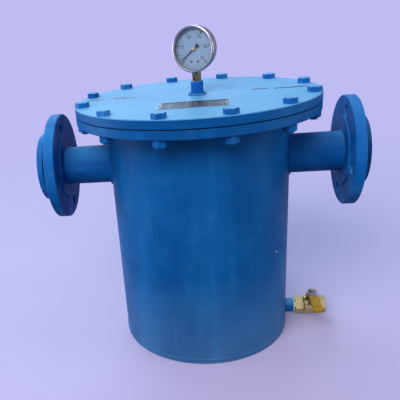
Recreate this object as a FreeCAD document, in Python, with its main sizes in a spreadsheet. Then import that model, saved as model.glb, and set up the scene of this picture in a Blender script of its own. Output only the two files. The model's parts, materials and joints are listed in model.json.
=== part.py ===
import FreeCAD, Part
import math
import operator
import os

import Sketcher

# Vertical water separator with a bolted cover, loose flanges on two side nozzles,
# a pressure gauge and a drain ball valve. Millimetres and degrees.
# The origin is the middle of the base, +Z is up and +X runs along the outlet nozzle.

Vector = FreeCAD.Vector
Rotation = FreeCAD.Rotation
Placement = FreeCAD.Placement

DIMENSIONS = {
    # Vessel and bolted cover
    "total_height": 395,
    "shell_dia": 280,
    "shell_wall": 6,
    "base_thick": 8,
    "flange_width": 44,
    "cover_thick": 12,
    "gasket_thick": 2,
    "gasket_inset": 1,
    "gasket_edge": 3,
    "flange_thick": 12,
    "shell_setback": 4,
    "weld_gap": 0.2,
    "edge_chamfer": 1,
    "bolt_edge": 11.5,
    "bolt_count": 12,
    "bolt_start": 15,
    "bolt_dia": 12,
    "bolt_hole": 14,
    "bolt_flats": 18,
    "bolt_head": 7.5,
    "nut_tall": 10,
    "thread_proud": 3,
    "thread_gap": 0.1,
    # Nozzles with loose flanges
    "nozzle_drop": 99,
    "nozzle_length": 110,
    "pipe_dia": 60,
    "pipe_wall": 3.5,
    "pipe_inset": 2,
    "pipe_intrusion": 6,
    "collar_edge": 30,
    "collar_thick": 14,
    "loose_dia": 165,
    "loose_rim": 16,
    "loose_face": 2,
    "loose_gap": 0.4,
    "loose_edge": 20,
    "loose_hole": 18,
    "loose_holes": 4,
    "inlet_clock": 80,
    "outlet_clock": 10,
    "inlet_float": 6,
    "outlet_float": 0.3,
    # Filter cartridge and baffles inside
    "elbow_radius": 76,
    "elbow_wall": 3,
    "cap_dia": 120,
    "cap_thick": 6,
    "core_dia": 64,
    "core_wall": 3,
    "mesh_dia": 110,
    "mesh_bore": 66,
    "slot_width": 6,
    "slot_rib": 13,
    "rod_dia": 10,
    "rod_gap": 0.2,
    "rod_nut_flats": 16,
    "rod_nut_tall": 8,
    "rod_tail": 8,
    "rod_proud": 2,
    "rod_clear": 4,
    "bridge_thick": 5,
    "bridge_width": 14,
    "bridge_gap": 2,
    "baffle_gap": 34,
    "baffle_thick": 4,
    "baffle_drop": 56,
    "baffle_rise": 44,
    "baffle_span": 76,
    "splash_height": 54,
    "splash_thick": 4,
    "splash_hole": 16,
    "splash_gap": 0.5,
    "lug_reach": 14,
    "lug_tall": 10,
    "lug_span": 8,
    "lug_count": 3,
    "lug_start": 60,
    # Gauge
    "gauge_offset": 2.4,
    "gauge_turn": 25,
    "thread_show": 4.8,
    "tap_dia": 10,
    "boss_dia": 18.6,
    "boss_foot": 25,
    "boss_tall": 20,
    "boss_bore": 13,
    "gauge_thread": 12.8,
    "gauge_flats": 13,
    "gauge_hex_tall": 7.5,
    "gauge_neck": 7.6,
    "neck_clear": 0.3,
    "gauge_port": 4,
    "port_into_block": 8,
    "boss_floor": 4,
    "case_dia": 61.8,
    "case_wall": 0.8,
    "case_back": 10,
    "case_round": 4.5,
    "case_front": 8.6,
    "bezel_over": 2,
    "bezel_back": 4.8,
    "bezel_clear": 0.3,
    "bezel_fit": 0.1,
    "bezel_slope": 1.6,
    "bezel_edge": 0.5,
    "lip_inside": 1.8,
    "window_thick": 1.8,
    "dial_inset": 0.4,
    "dial_level": 4,
    "dial_thick": 0.8,
    "plate_gap": 3,
    "plate_thick": 1,
    "block_width": 16,
    "block_top": 15.5,
    "block_clear": 3.5,
    "dial_screw_x": 5.6,
    "dial_screw_y": 17.2,
    "dial_screw_dia": 2,
    "dial_screw_head": 3.8,
    "dial_screw_tall": 0.7,
    "screw_clear": 0.1,
    "arbor_dia": 2,
    "arbor_gap": 0.05,
    "arbor_hole": 0.8,
    "arbor_end": 0.5,
    "frame_low": 20.5,
    "frame_high": 6,
    "frame_notch_wide": 2,
    "frame_notch_tall": 4,
    "pillar_dia": 2.4,
    "pillar_inset": 2,
    "gear_module": 0.4,
    "pinion_teeth": 12,
    "sector_teeth_full": 54,
    "sector_gaps": 13,
    "gear_backlash": 0.1,
    "pinion_half": 1.2,
    "sector_half": 0.6,
    "sector_hub_dia": 4,
    "sector_hub_half": 1.5,
    "sector_shaft_back": 4.4,
    "sector_shaft_front": 3.8,
    "tail_long": 6.5,
    "tail_wide": 2.4,
    "tail_angle": 60,
    "tail_hole": 1.2,
    "tube_clear": 6.4,
    "tube_width": 6,
    "tube_thin": 2.4,
    "tube_foot_gap": 0.6,
    "tube_angle": 250,
    "pointer_short": 3.4,
    "pointer_tail": 9,
    "pointer_lift": 1.2,
    "pointer_thick": 0.5,
    "hub_dia": 4.8,
    "hub_tall": 2.2,
    "hub_below": 0.6,
    "pointer_zero": 218,
    "pointer_travel": 270,
    "pointer_base": 2.2,
    "pointer_flare": 6,
    # Nameplate
    "plate_long": 98,
    "plate_wide": 48,
    "plate_sheet": 0.8,
    "plate_turn": -1.5,
    "plate_back": 86,
    "plate_corner": 2.5,
    # Drain valve
    "drain_height": 22,
    "coupling_dia": 24,
    "coupling_length": 15,
    "pipe_thread": 20,
    "nipple_bore": 15,
    "nipple_half": 13,
    "tape_long": 2,
    "tape_thick": 1.3,
    "valve_flats": 27,
    "barrel_dia": 32,
    "barrel_bevel": 2,
    "end_bevel": 3,
    "valve_left": 29.5,
    "hex_left": 16,
    "barrel_right": 13,
    "valve_right": 22.5,
    "inlet_thread_end": 15,
    "port_dia": 12.5,
    "chamber_dia": 21.2,
    "chamber_half": 9.5,
    "insert_dia": 24.8,
    "outlet_thread": 18.6,
    "outlet_thread_long": 12,
    "ball_dia": 20,
    "seat_gap": 0.18,
    "seat_bore": 13,
    "seat_inner": 6.6,
    "neck_dia": 22,
    "neck_tall": 18.5,
    "stem_dia": 8,
    "stem_gap": 0.05,
    "stem_shoulder": 10.4,
    "shoulder_low": 10.2,
    "shoulder_high": 11.8,
    "tongue_thick": 3,
    "tongue_deep": 2.4,
    "tongue_wide": 8,
    "tongue_play": 0.1,
    "tongue_root": 0.5,
    "recess_gap": 0.2,
    "packing_dia": 11,
    "packing_low": 14,
    "packing_high": 17.2,
    "gland_flats": 13,
    "gland_tall": 3.8,
    "lever_level": 23,
    "lever_thick": 2.5,
    "lever_root": 20,
    "lever_wide": 11,
    "lever_reach": 58,
    "lever_drop": 2,
    "bend_gap": 1,
    "bend_run": 4,
    "stem_flats": 6,
    "stem_top_dia": 6,
    "stem_top": 31.2,
    "lever_nut_flats": 10,
    "lever_nut_tall": 5,
    "grip_start": 15,
    "grip_tip": 3,
    "grip_round": 1.4,
    "grip_end": 62,
    "grip_wide": 14.5,
    "grip_thick": 6,
    "stop_radius": 9.2,
    "stop_deep": 2.4,
    "stop_rise": 3.5,
    "stop_sunk": 2,
    "tab_drop": 3,
    "stop_half_angle": 10,
    "stop_slack": 2,
    "lever_travel": 90,
}

doc = FreeCAD.newDocument("separator")
sheet = doc.addObject("Spreadsheet::Sheet", "sizes")
for row, (name, number) in enumerate(DIMENSIONS.items(), start=1):
    sheet.set("A%d" % row, name)
    sheet.set("B%d" % row, str(number))
    sheet.setAlias("B%d" % row, name)
doc.recompute()

OPERATIONS = {"+": operator.add, "-": operator.sub, "*": operator.mul, "/": operator.truediv}
HEX_CORNER = 2 / math.sqrt(3)
FULL_TURN = 360
AXIS_DIRECTIONS = {"X": "H_Axis", "Z": "V_Axis"}


class Size:
    """A number together with the sheet expression that gives it."""

    def __init__(self, value, text):
        self.value = value
        self.text = text

    def __add__(self, other):
        return combine(self, "+", other)

    def __radd__(self, other):
        return combine(other, "+", self)

    def __sub__(self, other):
        return combine(self, "-", other)

    def __rsub__(self, other):
        return combine(other, "-", self)

    def __mul__(self, other):
        return combine(self, "*", other)

    def __rmul__(self, other):
        return combine(other, "*", self)

    def __truediv__(self, other):
        return combine(self, "/", other)

    def __neg__(self):
        return combine(0, "-", self)


def as_size(number):
    if isinstance(number, Size):
        return number
    return Size(number, repr(number))


def combine(left, sign, right):
    left = as_size(left)
    right = as_size(right)
    value = OPERATIONS[sign](left.value, right.value)
    return Size(value, "(%s %s %s)" % (left.text, sign, right.text))


def size(name):
    return Size(float(sheet.get(name)), "sizes." + name)


def half(name):
    return size(name) / 2


# Bodies, sketches and features

def origin_plane(body, role):
    return next(item for item in body.Origin.OriginFeatures if item.Role == role)


def new_body(label):
    return doc.addObject("PartDesign::Body", label)


def new_sketch(body, plane, offset=0):
    sketch = body.newObject("Sketcher::SketchObject", body.Name + "_sketch")
    sketch.AttachmentSupport = (origin_plane(body, plane), [""])
    sketch.MapMode = "FlatFace"
    offset = as_size(offset)
    sketch.AttachmentOffset = Placement(Vector(0, 0, offset.value), Rotation())
    sketch.setExpression("AttachmentOffset.Base.z", offset.text)
    return sketch


def add_constraint(sketch, kind, *items):
    return sketch.addConstraint(Sketcher.Constraint(kind, *items))


def hold_point(sketch, geometry, end, across, up):
    """Tie one point of the sketch to its place, each coordinate to its expression."""
    for kind, axis, place in (("DistanceX", -2, as_size(across)), ("DistanceY", -1, as_size(up))):
        if abs(place.value) < 1e-9:
            add_constraint(sketch, "PointOnObject", geometry, end, axis)
        else:
            index = add_constraint(sketch, kind, -1, 1, geometry, end, place.value)
            sketch.setExpression("Constraints[%d]" % index, place.text)


def draw_polygon(sketch, corners):
    places = [Vector(as_size(a).value, as_size(b).value, 0) for a, b in corners]
    first = sketch.GeometryCount
    count = len(places)
    for i in range(count):
        sketch.addGeometry(Part.LineSegment(places[i], places[(i + 1) % count]))
    for i in range(count):
        add_constraint(sketch, "Coincident", first + i, 2, first + (i + 1) % count, 1)
    for i, (across, up) in enumerate(corners):
        hold_point(sketch, first + i, 1, across, up)


def draw_circle(sketch, radius, across=0, up=0):
    radius = as_size(radius)
    centre = Vector(as_size(across).value, as_size(up).value, 0)
    index = sketch.addGeometry(Part.Circle(centre, Vector(0, 0, 1), radius.value))
    hold_point(sketch, index, 3, across, up)
    rule = add_constraint(sketch, "Radius", index, radius.value)
    sketch.setExpression("Constraints[%d]" % rule, radius.text)


def draw_hexagon(sketch, flats):
    corner = flats * (HEX_CORNER / 2)
    angles = [math.radians(60 * i) for i in range(6)]
    draw_polygon(sketch, [(corner * math.cos(a), corner * math.sin(a)) for a in angles])


def rectangle(low_across, high_across, low_up, high_up):
    return [
        (low_across, low_up),
        (high_across, low_up),
        (high_across, high_up),
        (low_across, high_up),
    ]


def outline(body, corners, axis):
    """A sketch of (radius, station) corners in the plane of the turning axis."""
    sketch = new_sketch(body, "XZ_Plane")
    if axis == "X":
        corners = [(station, radius) for radius, station in corners]
    draw_polygon(sketch, corners)
    return sketch


def turned(label, corners, axis="Z", angle=FULL_TURN):
    """A body turned from one outline of (radius, station) corners about X or Z."""
    body = new_body(label)
    sketch = outline(body, corners, axis)
    feature = body.newObject("PartDesign::Revolution", label + "_turn")
    feature.Profile = sketch
    feature.ReferenceAxis = (sketch, [AXIS_DIRECTIONS[axis]])
    angle = as_size(angle)
    feature.Angle = angle.value
    feature.setExpression("Angle", angle.text)
    feature.Midplane = angle.value != FULL_TURN
    sketch.Visibility = False
    doc.recompute()
    return body


def groove(body, corners, axis="Z"):
    before = body.Tip.Shape.Volume
    sketch = outline(body, corners, axis)
    feature = body.newObject("PartDesign::Groove", body.Name + "_groove")
    feature.Profile = sketch
    feature.ReferenceAxis = (sketch, [AXIS_DIRECTIONS[axis]])
    feature.Angle = FULL_TURN
    doc.recompute()
    require_change(feature, before, -1)


def require_change(feature, before, sign):
    change = (feature.Shape.Volume - before) * sign
    if change < 1e-6:
        raise ValueError("%s does not change the solid as meant" % feature.Name)


def extrude(kind, body, sketch, length, backwards=False, midplane=False):
    length = as_size(length)
    feature = body.newObject("PartDesign::" + kind, body.Name + "_" + kind.lower())
    feature.Profile = sketch
    feature.Length = length.value
    feature.setExpression("Length", length.text)
    feature.Reversed = backwards
    if midplane:
        feature.SideType = "Symmetric"
    return feature


def pad(body, sketch, length, backwards=False, midplane=False):
    before = body.Tip.Shape.Volume if body.Tip else 0
    feature = extrude("Pad", body, sketch, length, backwards, midplane)
    doc.recompute()
    require_change(feature, before, 1)
    return feature


def pocket(body, sketch, length, backwards=False, midplane=False):
    before = body.Tip.Shape.Volume
    feature = extrude("Pocket", body, sketch, length, backwards, midplane)
    doc.recompute()
    require_change(feature, before, -1)
    return feature


def polar(body, feature, sketch, count, angle=FULL_TURN):
    before = body.Tip.Shape.Volume
    count = as_size(count)
    pattern = body.newObject("PartDesign::PolarPattern", body.Name + "_ring")
    pattern.Originals = [feature]
    pattern.Axis = (sketch, ["N_Axis"])
    pattern.Angle = angle
    pattern.Occurrences = int(count.value)
    pattern.setExpression("Occurrences", count.text)
    body.Tip = pattern
    doc.recompute()
    if count.value > 1:
        require_change(pattern, before, -1)


def ring_holes(body, plane, offset, circle, hole, count, start, length, backwards=False):
    """Equal round holes on a bolt circle about the normal of the plane."""
    angle = math.radians(as_size(start).value)
    sketch = new_sketch(body, plane, offset)
    draw_circle(sketch, hole / 2, circle / 2 * math.cos(angle), circle / 2 * math.sin(angle))
    cut = pocket(body, sketch, length, backwards)
    polar(body, cut, sketch, count)


def soften(body, feature, test, radius, kind="Fillet"):
    """Round or chamfer the edges of the feature that the test picks."""
    names = ["Edge%d" % (i + 1) for i, edge in enumerate(feature.Shape.Edges) if test(edge)]
    dress = body.newObject("PartDesign::" + kind, body.Name + "_" + kind.lower())
    dress.Base = (feature, names)
    radius = as_size(radius)
    rule = "Radius" if kind == "Fillet" else "Size"
    setattr(dress, rule, radius.value)
    dress.setExpression(rule, radius.text)
    doc.recompute()


def circle_edge(radius, station, axis="z"):
    """A test for a full circular edge of this radius at this station along the axis."""
    radius = as_size(radius).value
    station = as_size(station).value

    def test(edge):
        round_edge = isinstance(edge.Curve, Part.Circle)
        if not round_edge or abs(edge.Curve.Radius - radius) > 1e-4:
            return False
        return abs(getattr(edge.Curve.Center, axis) - station) < 1e-4

    return test


def place(item, x=0, y=0, z=0, rotation=None):
    places = {"x": as_size(x), "y": as_size(y), "z": as_size(z)}
    base = Vector(places["x"].value, places["y"].value, places["z"].value)
    item.Placement = Placement(base, rotation or Rotation())
    for axis, value in places.items():
        item.setExpression("Placement.Base." + axis, value.text)
    return item


def copies(label, seed, count, start=0, centre=Vector(0, 0, 0)):
    """Separate equal solids in a ring about Z, as one part."""
    doc.recompute()
    solids = []
    for i in range(int(as_size(count).value)):
        solid = seed.Shape.copy()
        turn = as_size(start).value + FULL_TURN / as_size(count).value * i
        solid.rotate(centre, Vector(0, 0, 1), turn)
        solids.append(solid)
    group = doc.addObject("Part::Feature", label)
    group.Shape = Part.makeCompound(solids)
    return group


def hex_piece(label, flats, tall, bore=None, lead=0.95):
    """A hexagon along Z from its foot at 0, its top corners turned off, with an optional bore."""
    body = new_body(label)
    sketch = new_sketch(body, "XY_Plane")
    draw_hexagon(sketch, flats)
    if bore is not None:
        draw_circle(sketch, bore / 2)
    pad(body, sketch, tall)
    corner = flats * (HEX_CORNER / 2) + 1
    flat = flats / 2 * lead
    groove(body, [(corner, tall), (flat, tall), (corner, tall - (corner - flat) * 0.5)])
    return body


# Levels and radii that several pieces share

SHELL_R = half("shell_dia")
SHELL_IN = SHELL_R - size("shell_wall")
COVER_R = SHELL_R + size("flange_width")
BOLT_R = COVER_R - size("bolt_edge")
COVER_TOP = size("total_height")
COVER_BOTTOM = COVER_TOP - size("cover_thick")
FLANGE_TOP = COVER_BOTTOM - size("gasket_thick")
FLANGE_BOTTOM = FLANGE_TOP - size("flange_thick")
PIPE_R = half("pipe_dia")
PIPE_IN = PIPE_R - size("pipe_wall")
PIPE_START = SHELL_IN - size("pipe_intrusion")
ELBOW_IN = PIPE_R - size("elbow_wall")
NOZZLE = COVER_TOP - size("nozzle_drop")
FACE = SHELL_R + size("nozzle_length")
COLLAR_BACK = FACE - size("collar_thick")
BACKWARDS = Rotation(Vector(0, 0, 1), 180)
PARTS = []


def keep(item):
    PARTS.append(item)
    return item


# Vessel

def bottom_plate():
    chamfer = size("edge_chamfer")
    corners = [
        (0, 0),
        (SHELL_R - chamfer, 0),
        (SHELL_R, chamfer),
        (SHELL_R, size("base_thick")),
        (0, size("base_thick")),
    ]
    keep(turned("bottom_plate", corners))


def shell_tube():
    shell_top = FLANGE_TOP - size("shell_setback")
    body = turned("shell_tube", rectangle(SHELL_IN, SHELL_R, size("base_thick"), shell_top))
    nozzle_holes = new_sketch(body, "YZ_Plane")
    draw_circle(nozzle_holes, PIPE_R + size("weld_gap"), 0, NOZZLE)
    pocket(body, nozzle_holes, COVER_R * 2, midplane=True)
    drain_hole = new_sketch(body, "YZ_Plane")
    draw_circle(drain_hole, half("coupling_dia") + size("weld_gap"), 0, size("drain_height"))
    pocket(body, drain_hole, COVER_R, backwards=True)
    keep(body)


def shell_flange():
    chamfer = size("edge_chamfer")
    corners = [
        (SHELL_R + size("weld_gap"), FLANGE_BOTTOM),
        (COVER_R - chamfer, FLANGE_BOTTOM),
        (COVER_R, FLANGE_BOTTOM + chamfer),
        (COVER_R, FLANGE_TOP),
        (SHELL_R + size("weld_gap"), FLANGE_TOP),
    ]
    body = turned("shell_flange", corners)
    cover_holes(body, FLANGE_TOP, size("flange_thick"))
    keep(body)


def cover_holes(body, level, thick):
    hole = size("bolt_hole")
    start = size("bolt_start")
    ring_holes(body, "XY_Plane", level, BOLT_R * 2, hole, size("bolt_count"), start, thick)


def cover_gasket():
    inner = SHELL_R + size("gasket_inset")
    outer = BOLT_R - half("bolt_hole") - size("gasket_edge")
    keep(turned("cover_gasket", rectangle(inner, outer, FLANGE_TOP, COVER_BOTTOM)))


def cover_plate():
    chamfer = size("edge_chamfer")
    corners = [
        (0, COVER_BOTTOM),
        (COVER_R, COVER_BOTTOM),
        (COVER_R, COVER_TOP - chamfer),
        (COVER_R - chamfer, COVER_TOP),
        (0, COVER_TOP),
    ]
    body = turned("cover_plate", corners)
    cover_holes(body, COVER_TOP, size("cover_thick"))
    tap = new_sketch(body, "XY_Plane", COVER_TOP)
    draw_circle(tap, half("tap_dia"), size("gauge_offset"), 0)
    pocket(body, tap, size("cover_thick"))
    keep(body)


def cover_bolts():
    """Hexagon bolts from above, with nuts under the flange."""
    grip = COVER_TOP - FLANGE_BOTTOM
    shank = grip + size("nut_tall") + size("thread_proud")
    bolt = hex_piece("cover_bolt", size("bolt_flats"), size("bolt_head"))
    shank_sketch = new_sketch(bolt, "XY_Plane")
    draw_circle(shank_sketch, half("bolt_dia"))
    stem = pad(bolt, shank_sketch, shank, backwards=True)
    point = circle_edge(half("bolt_dia"), -shank)
    soften(bolt, stem, point, size("edge_chamfer"), "Chamfer")
    place(bolt, BOLT_R, 0, COVER_TOP)
    nut_bore = size("bolt_dia") + 2 * size("thread_gap")
    nut = hex_piece("cover_nut", size("bolt_flats"), size("nut_tall"), nut_bore)
    upside_down = Rotation(Vector(1, 0, 0), 180)
    place(nut, BOLT_R, 0, FLANGE_BOTTOM, upside_down)
    for seed in (bolt, nut):
        keep(copies(seed.Name + "s", seed, size("bolt_count"), size("bolt_start")))


# Nozzles. Each side is made along +X, and the inlet side is turned half round.

def nozzle(side, rotation, sign):
    pipe_end = FACE - size("pipe_inset")
    pipe = turned(side + "_pipe", rectangle(PIPE_IN, PIPE_R, PIPE_START, pipe_end), "X")
    keep(place(pipe, 0, 0, NOZZLE, rotation))
    chamfer = size("edge_chamfer")
    collar_r = half("loose_dia") - size("collar_edge")
    bore = PIPE_R + size("weld_gap")
    corners = [
        (bore, COLLAR_BACK),
        (collar_r - chamfer, COLLAR_BACK),
        (collar_r, COLLAR_BACK + chamfer),
        (collar_r, FACE - chamfer),
        (collar_r - chamfer, FACE),
        (bore, FACE),
    ]
    keep(place(turned(side + "_collar", corners, "X"), 0, 0, NOZZLE, rotation))
    loose_flange(side, rotation, sign)


def loose_flange(side, rotation, sign):
    """A flange that is free on the pipe behind the collar, its raised face to the vessel."""
    rim = size("loose_rim")
    face = size("loose_face")
    chamfer = size("edge_chamfer")
    outer = half("loose_dia")
    face_r = outer - size("collar_edge")
    bore = PIPE_R + size("loose_gap")
    corners = [
        (bore, -(rim + face)),
        (face_r, -(rim + face)),
        (face_r, -rim),
        (outer - chamfer, -rim),
        (outer, chamfer - rim),
        (outer, -chamfer),
        (outer - chamfer, 0),
        (bore, 0),
    ]
    body = turned(side + "_flange", corners, "X")
    clock = size(side + "_clock")
    circle = (outer - size("loose_edge")) * 2
    ring_holes(body, "YZ_Plane", 0, circle, size("loose_hole"), size("loose_holes"), clock, rim)
    station = COLLAR_BACK - size(side + "_float")
    keep(place(body, station * sign, 0, NOZZLE, rotation))


# Pieces inside the vessel

def inlet_baffle():
    """A curved skirt in front of the inlet, closed above by a web that is welded to the wall."""
    radius = SHELL_IN - size("baffle_gap")
    thick = size("baffle_thick")
    low = NOZZLE - size("baffle_drop")
    top = NOZZLE + size("baffle_rise")
    wall = SHELL_IN - size("weld_gap")
    corners = [
        (radius, low),
        (radius + thick, low),
        (radius + thick, top - thick),
        (wall, top - thick),
        (wall, top),
        (radius, top),
    ]
    keep(place(turned("inlet_baffle", corners, "Z", size("baffle_span")), rotation=BACKWARDS))


def outlet_elbow():
    """A straight leg from the outlet pipe and a bend down to the filter cap."""
    radius = size("elbow_radius")
    body = new_body("outlet_elbow")
    leg = new_sketch(body, "YZ_Plane")
    bend = new_sketch(body, "YZ_Plane")
    for sketch in (leg, bend):
        draw_circle(sketch, PIPE_R, 0, radius)
        draw_circle(sketch, ELBOW_IN, 0, radius)
    pad(body, leg, PIPE_START - radius)
    before = body.Tip.Shape.Volume
    turn = body.newObject("PartDesign::Revolution", "outlet_elbow_bend")
    turn.Profile = bend
    turn.ReferenceAxis = (bend, ["H_Axis"])
    turn.Angle = 90
    turn.Reversed = True
    doc.recompute()
    require_change(turn, before, 1)
    keep(place(body, radius, 0, NOZZLE - radius))


CAP_TOP = NOZZLE - size("elbow_radius")
CORE_TOP = CAP_TOP - size("cap_thick")
SPLASH_TOP = size("splash_height") + size("splash_thick")
ROD_LOW = SPLASH_TOP + size("rod_clear")
CAP_BOTTOM = ROD_LOW + size("rod_tail") + size("rod_nut_tall")
CORE_BOTTOM = CAP_BOTTOM + size("cap_thick")
ROD_HOLE = half("rod_dia") + size("rod_gap")


def filter_cartridge():
    cap_r = half("cap_dia")
    keep(turned("filter_top_cap", rectangle(ELBOW_IN, cap_r, CORE_TOP, CAP_TOP)))
    core_r = half("core_dia")
    core_in = core_r - size("core_wall")
    core = turned("filter_core", rectangle(core_in, core_r, CORE_BOTTOM, CORE_TOP))
    slot_rows = 3
    slot_pairs = 4
    slot_half = half("slot_width")
    rib_half = half("slot_rib")
    row_pitch = (CORE_TOP - CORE_BOTTOM) / slot_rows
    slots = new_sketch(core, "XZ_Plane")
    for row_index in range(slot_rows):
        low = CORE_BOTTOM + row_pitch * row_index + rib_half
        high = CORE_BOTTOM + row_pitch * (row_index + 1) - rib_half
        draw_polygon(slots, rectangle(-slot_half, slot_half, low, high))
    cut = pocket(core, slots, size("cap_dia"), midplane=True)
    before = core.Tip.Shape.Volume
    ring = core.newObject("PartDesign::PolarPattern", "filter_core_ring")
    ring.Originals = [cut]
    ring.Axis = (slots, ["V_Axis"])
    ring.Angle = 180
    ring.Occurrences = slot_pairs
    core.Tip = ring
    doc.recompute()
    require_change(ring, before, -1)
    keep(core)
    mesh = rectangle(half("mesh_bore"), half("mesh_dia"), CORE_BOTTOM, CORE_TOP)
    keep(turned("filter_mesh", mesh))
    keep(turned("filter_bottom_cap", rectangle(ROD_HOLE, cap_r, CAP_BOTTOM, CORE_BOTTOM)))
    bridge = new_body("rod_bridge")
    bar = new_sketch(bridge, "XY_Plane", CORE_TOP)
    reach = core_in - size("bridge_gap")
    width = half("bridge_width")
    draw_polygon(bar, rectangle(-reach, reach, -width, width))
    draw_circle(bar, ROD_HOLE)
    pad(bridge, bar, size("bridge_thick"), backwards=True)
    keep(bridge)
    rod_high = CORE_TOP + size("rod_proud")
    keep(turned("filter_tie_rod", rectangle(0, half("rod_dia"), ROD_LOW, rod_high)))
    nut = hex_piece("tie_rod_nut", size("rod_nut_flats"), size("rod_nut_tall"), ROD_HOLE * 2)
    keep(place(nut, 0, 0, CAP_BOTTOM, Rotation(Vector(1, 0, 0), 180)))


def splash_plate():
    """A perforated plate that keeps the collected water still, on three lugs."""
    low = size("splash_height")
    thick = size("splash_thick")
    edge = SHELL_IN - size("splash_gap")
    body = turned("splash_plate", rectangle(0, edge, low, SPLASH_TOP))
    hole = size("splash_hole")
    inner_ring = (0.42, 6)
    outer_ring = (0.78, 10)
    for share, count in (inner_ring, outer_ring):
        circle = edge * 2 * share
        ring_holes(body, "XY_Plane", SPLASH_TOP, circle, hole, count, 0, thick)
    keep(body)
    wall = SHELL_IN - size("weld_gap")
    lug_outline = rectangle(wall - size("lug_reach"), wall, low - size("lug_tall"), low)
    lug = turned("splash_lug", lug_outline, "Z", size("lug_span"))
    keep(copies("splash_lugs", lug, size("lug_count"), size("lug_start")))


# Gauge. Its own axis is +Z of its frame, which faces the reader, with +Y up.

CASE_R = half("case_dia")
CASE_IN = CASE_R - size("case_wall")
BEZEL_R = CASE_R + size("bezel_over")
HEX_TOP = -BEZEL_R - size("bezel_clear")
HEX_LOW = HEX_TOP - size("gauge_hex_tall")
BOSS_END = HEX_LOW - size("thread_show")
HUB_RISE = size("boss_tall") - BOSS_END
GAUGE_HUB = COVER_TOP + HUB_RISE
GAUGE_UPRIGHT = Rotation(Vector(0, 0, 1), -size("gauge_turn").value)
GAUGE_FACING = GAUGE_UPRIGHT.multiply(Rotation(Vector(1, 0, 0), 90))
DIAL_FRONT = size("dial_level") + size("dial_thick")
PLATE_HALF = size("plate_gap")
WINDOW_BACK = size("case_front")
WINDOW_FRONT = WINDOW_BACK + size("window_thick")
BLOCK_TOP = size("block_top")
DIAL_R = CASE_IN - size("dial_inset")
SCREW_HOLE = half("dial_screw_dia") + size("screw_clear")
ARBOR_R = half("arbor_dia")
BEARING_R = ARBOR_R + size("arbor_gap")
PINION_TEETH = size("pinion_teeth")
SECTOR_TEETH = size("sector_teeth_full")
MODULE = size("gear_module")
GEAR_DISTANCE = MODULE * (PINION_TEETH.value + SECTOR_TEETH.value) / 2
PRESSURE = math.radians(20)
HUB_CAP = 0.2


def on_gauge(item):
    return keep(place(item, size("gauge_offset"), 0, GAUGE_HUB, GAUGE_FACING))


def gauge_boss():
    """A welded socket on the cover, wider at its foot where the weld runs out."""
    top = size("boss_tall")
    outer = half("boss_dia")
    foot = half("boss_foot")
    weld = foot - outer
    corners = [
        (half("boss_bore"), 0),
        (foot, 0),
        (foot - weld * 0.6, weld * 0.4),
        (outer + weld * 0.12, weld * 1.1),
        (outer, weld * 2),
        (outer, top - size("edge_chamfer")),
        (outer - size("edge_chamfer"), top),
        (half("boss_bore"), top),
    ]
    keep(place(turned("gauge_boss", corners), size("gauge_offset"), 0, COVER_TOP))


def gauge_socket():
    """Threaded shank, wrench hexagon and the block inside the case that carries the works."""
    body = new_body("gauge_socket")
    shank_low = size("boss_floor") - HUB_RISE
    wide = half("block_width")
    block = new_sketch(body, "XZ_Plane")
    block_low = size("block_clear") - CASE_R
    draw_polygon(block, rectangle(-wide, wide, block_low, -BLOCK_TOP))
    pad(body, block, PLATE_HALF * 2, midplane=True)
    neck = new_sketch(body, "XY_Plane", HEX_TOP)
    draw_circle(neck, half("gauge_neck"))
    pad(body, neck, block_low - HEX_TOP)
    wrench = new_sketch(body, "XY_Plane", HEX_LOW)
    draw_hexagon(wrench, size("gauge_flats"))
    pad(body, wrench, size("gauge_hex_tall"))
    shank = new_sketch(body, "XY_Plane", shank_low)
    draw_circle(shank, half("gauge_thread"))
    pad(body, shank, HEX_LOW - shank_low)
    port = new_sketch(body, "XY_Plane", shank_low)
    draw_circle(port, half("gauge_port"))
    port_end = block_low + size("port_into_block")
    pocket(body, port, port_end - shank_low, backwards=True)
    screw_holes = new_sketch(body, "XZ_Plane")
    draw_screw_circles(screw_holes)
    pocket(body, screw_holes, size("block_width"), midplane=True)
    keep(place(body, size("gauge_offset"), 0, GAUGE_HUB, GAUGE_UPRIGHT))


def gauge_case():
    """A drawn cup with a rounded back, with a hole below for the socket."""
    back = -size("case_back")
    floor = back + size("case_wall")
    corners = [
        (0, back),
        (CASE_R, back),
        (CASE_R, size("case_front")),
        (CASE_IN, size("case_front")),
        (CASE_IN, floor),
        (0, floor),
    ]
    body = turned("gauge_case", corners)
    soften(body, body.Tip, circle_edge(CASE_R, back), size("case_round"))
    inner_round = size("case_round") - size("case_wall")
    soften(body, body.Tip, circle_edge(CASE_IN, floor), inner_round)
    hole = new_sketch(body, "XZ_Plane")
    draw_circle(hole, half("gauge_neck") + size("neck_clear"))
    pocket(body, hole, BEZEL_R, backwards=True)
    on_gauge(body)


def gauge_bezel():
    """The rolled ring that holds the window against the case."""
    inner = CASE_R + size("bezel_fit")
    lip = CASE_R - size("lip_inside")
    back = size("bezel_back")
    edge = size("bezel_edge")
    slope = size("bezel_slope")
    front = WINDOW_FRONT + edge * 2
    corners = [
        (inner, back),
        (BEZEL_R - edge, back),
        (BEZEL_R, back + edge),
        (BEZEL_R, front - slope),
        (BEZEL_R - edge, front - edge),
        (BEZEL_R - slope, front),
        (lip, WINDOW_FRONT + edge),
        (lip, WINDOW_FRONT),
        (inner, WINDOW_FRONT),
    ]
    on_gauge(turned("gauge_bezel", corners))


def gauge_glass_and_dial():
    on_gauge(turned("gauge_window", rectangle(0, CASE_R, WINDOW_BACK, WINDOW_FRONT)))
    body = turned("gauge_dial", rectangle(0, DIAL_R, size("dial_level"), DIAL_FRONT))
    holes = new_sketch(body, "XY_Plane", size("dial_level"))
    draw_circle(holes, half("arbor_dia") + size("arbor_hole"))
    draw_screw_circles(holes)
    pocket(body, holes, size("dial_thick"), backwards=True)
    on_gauge(body)


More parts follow.
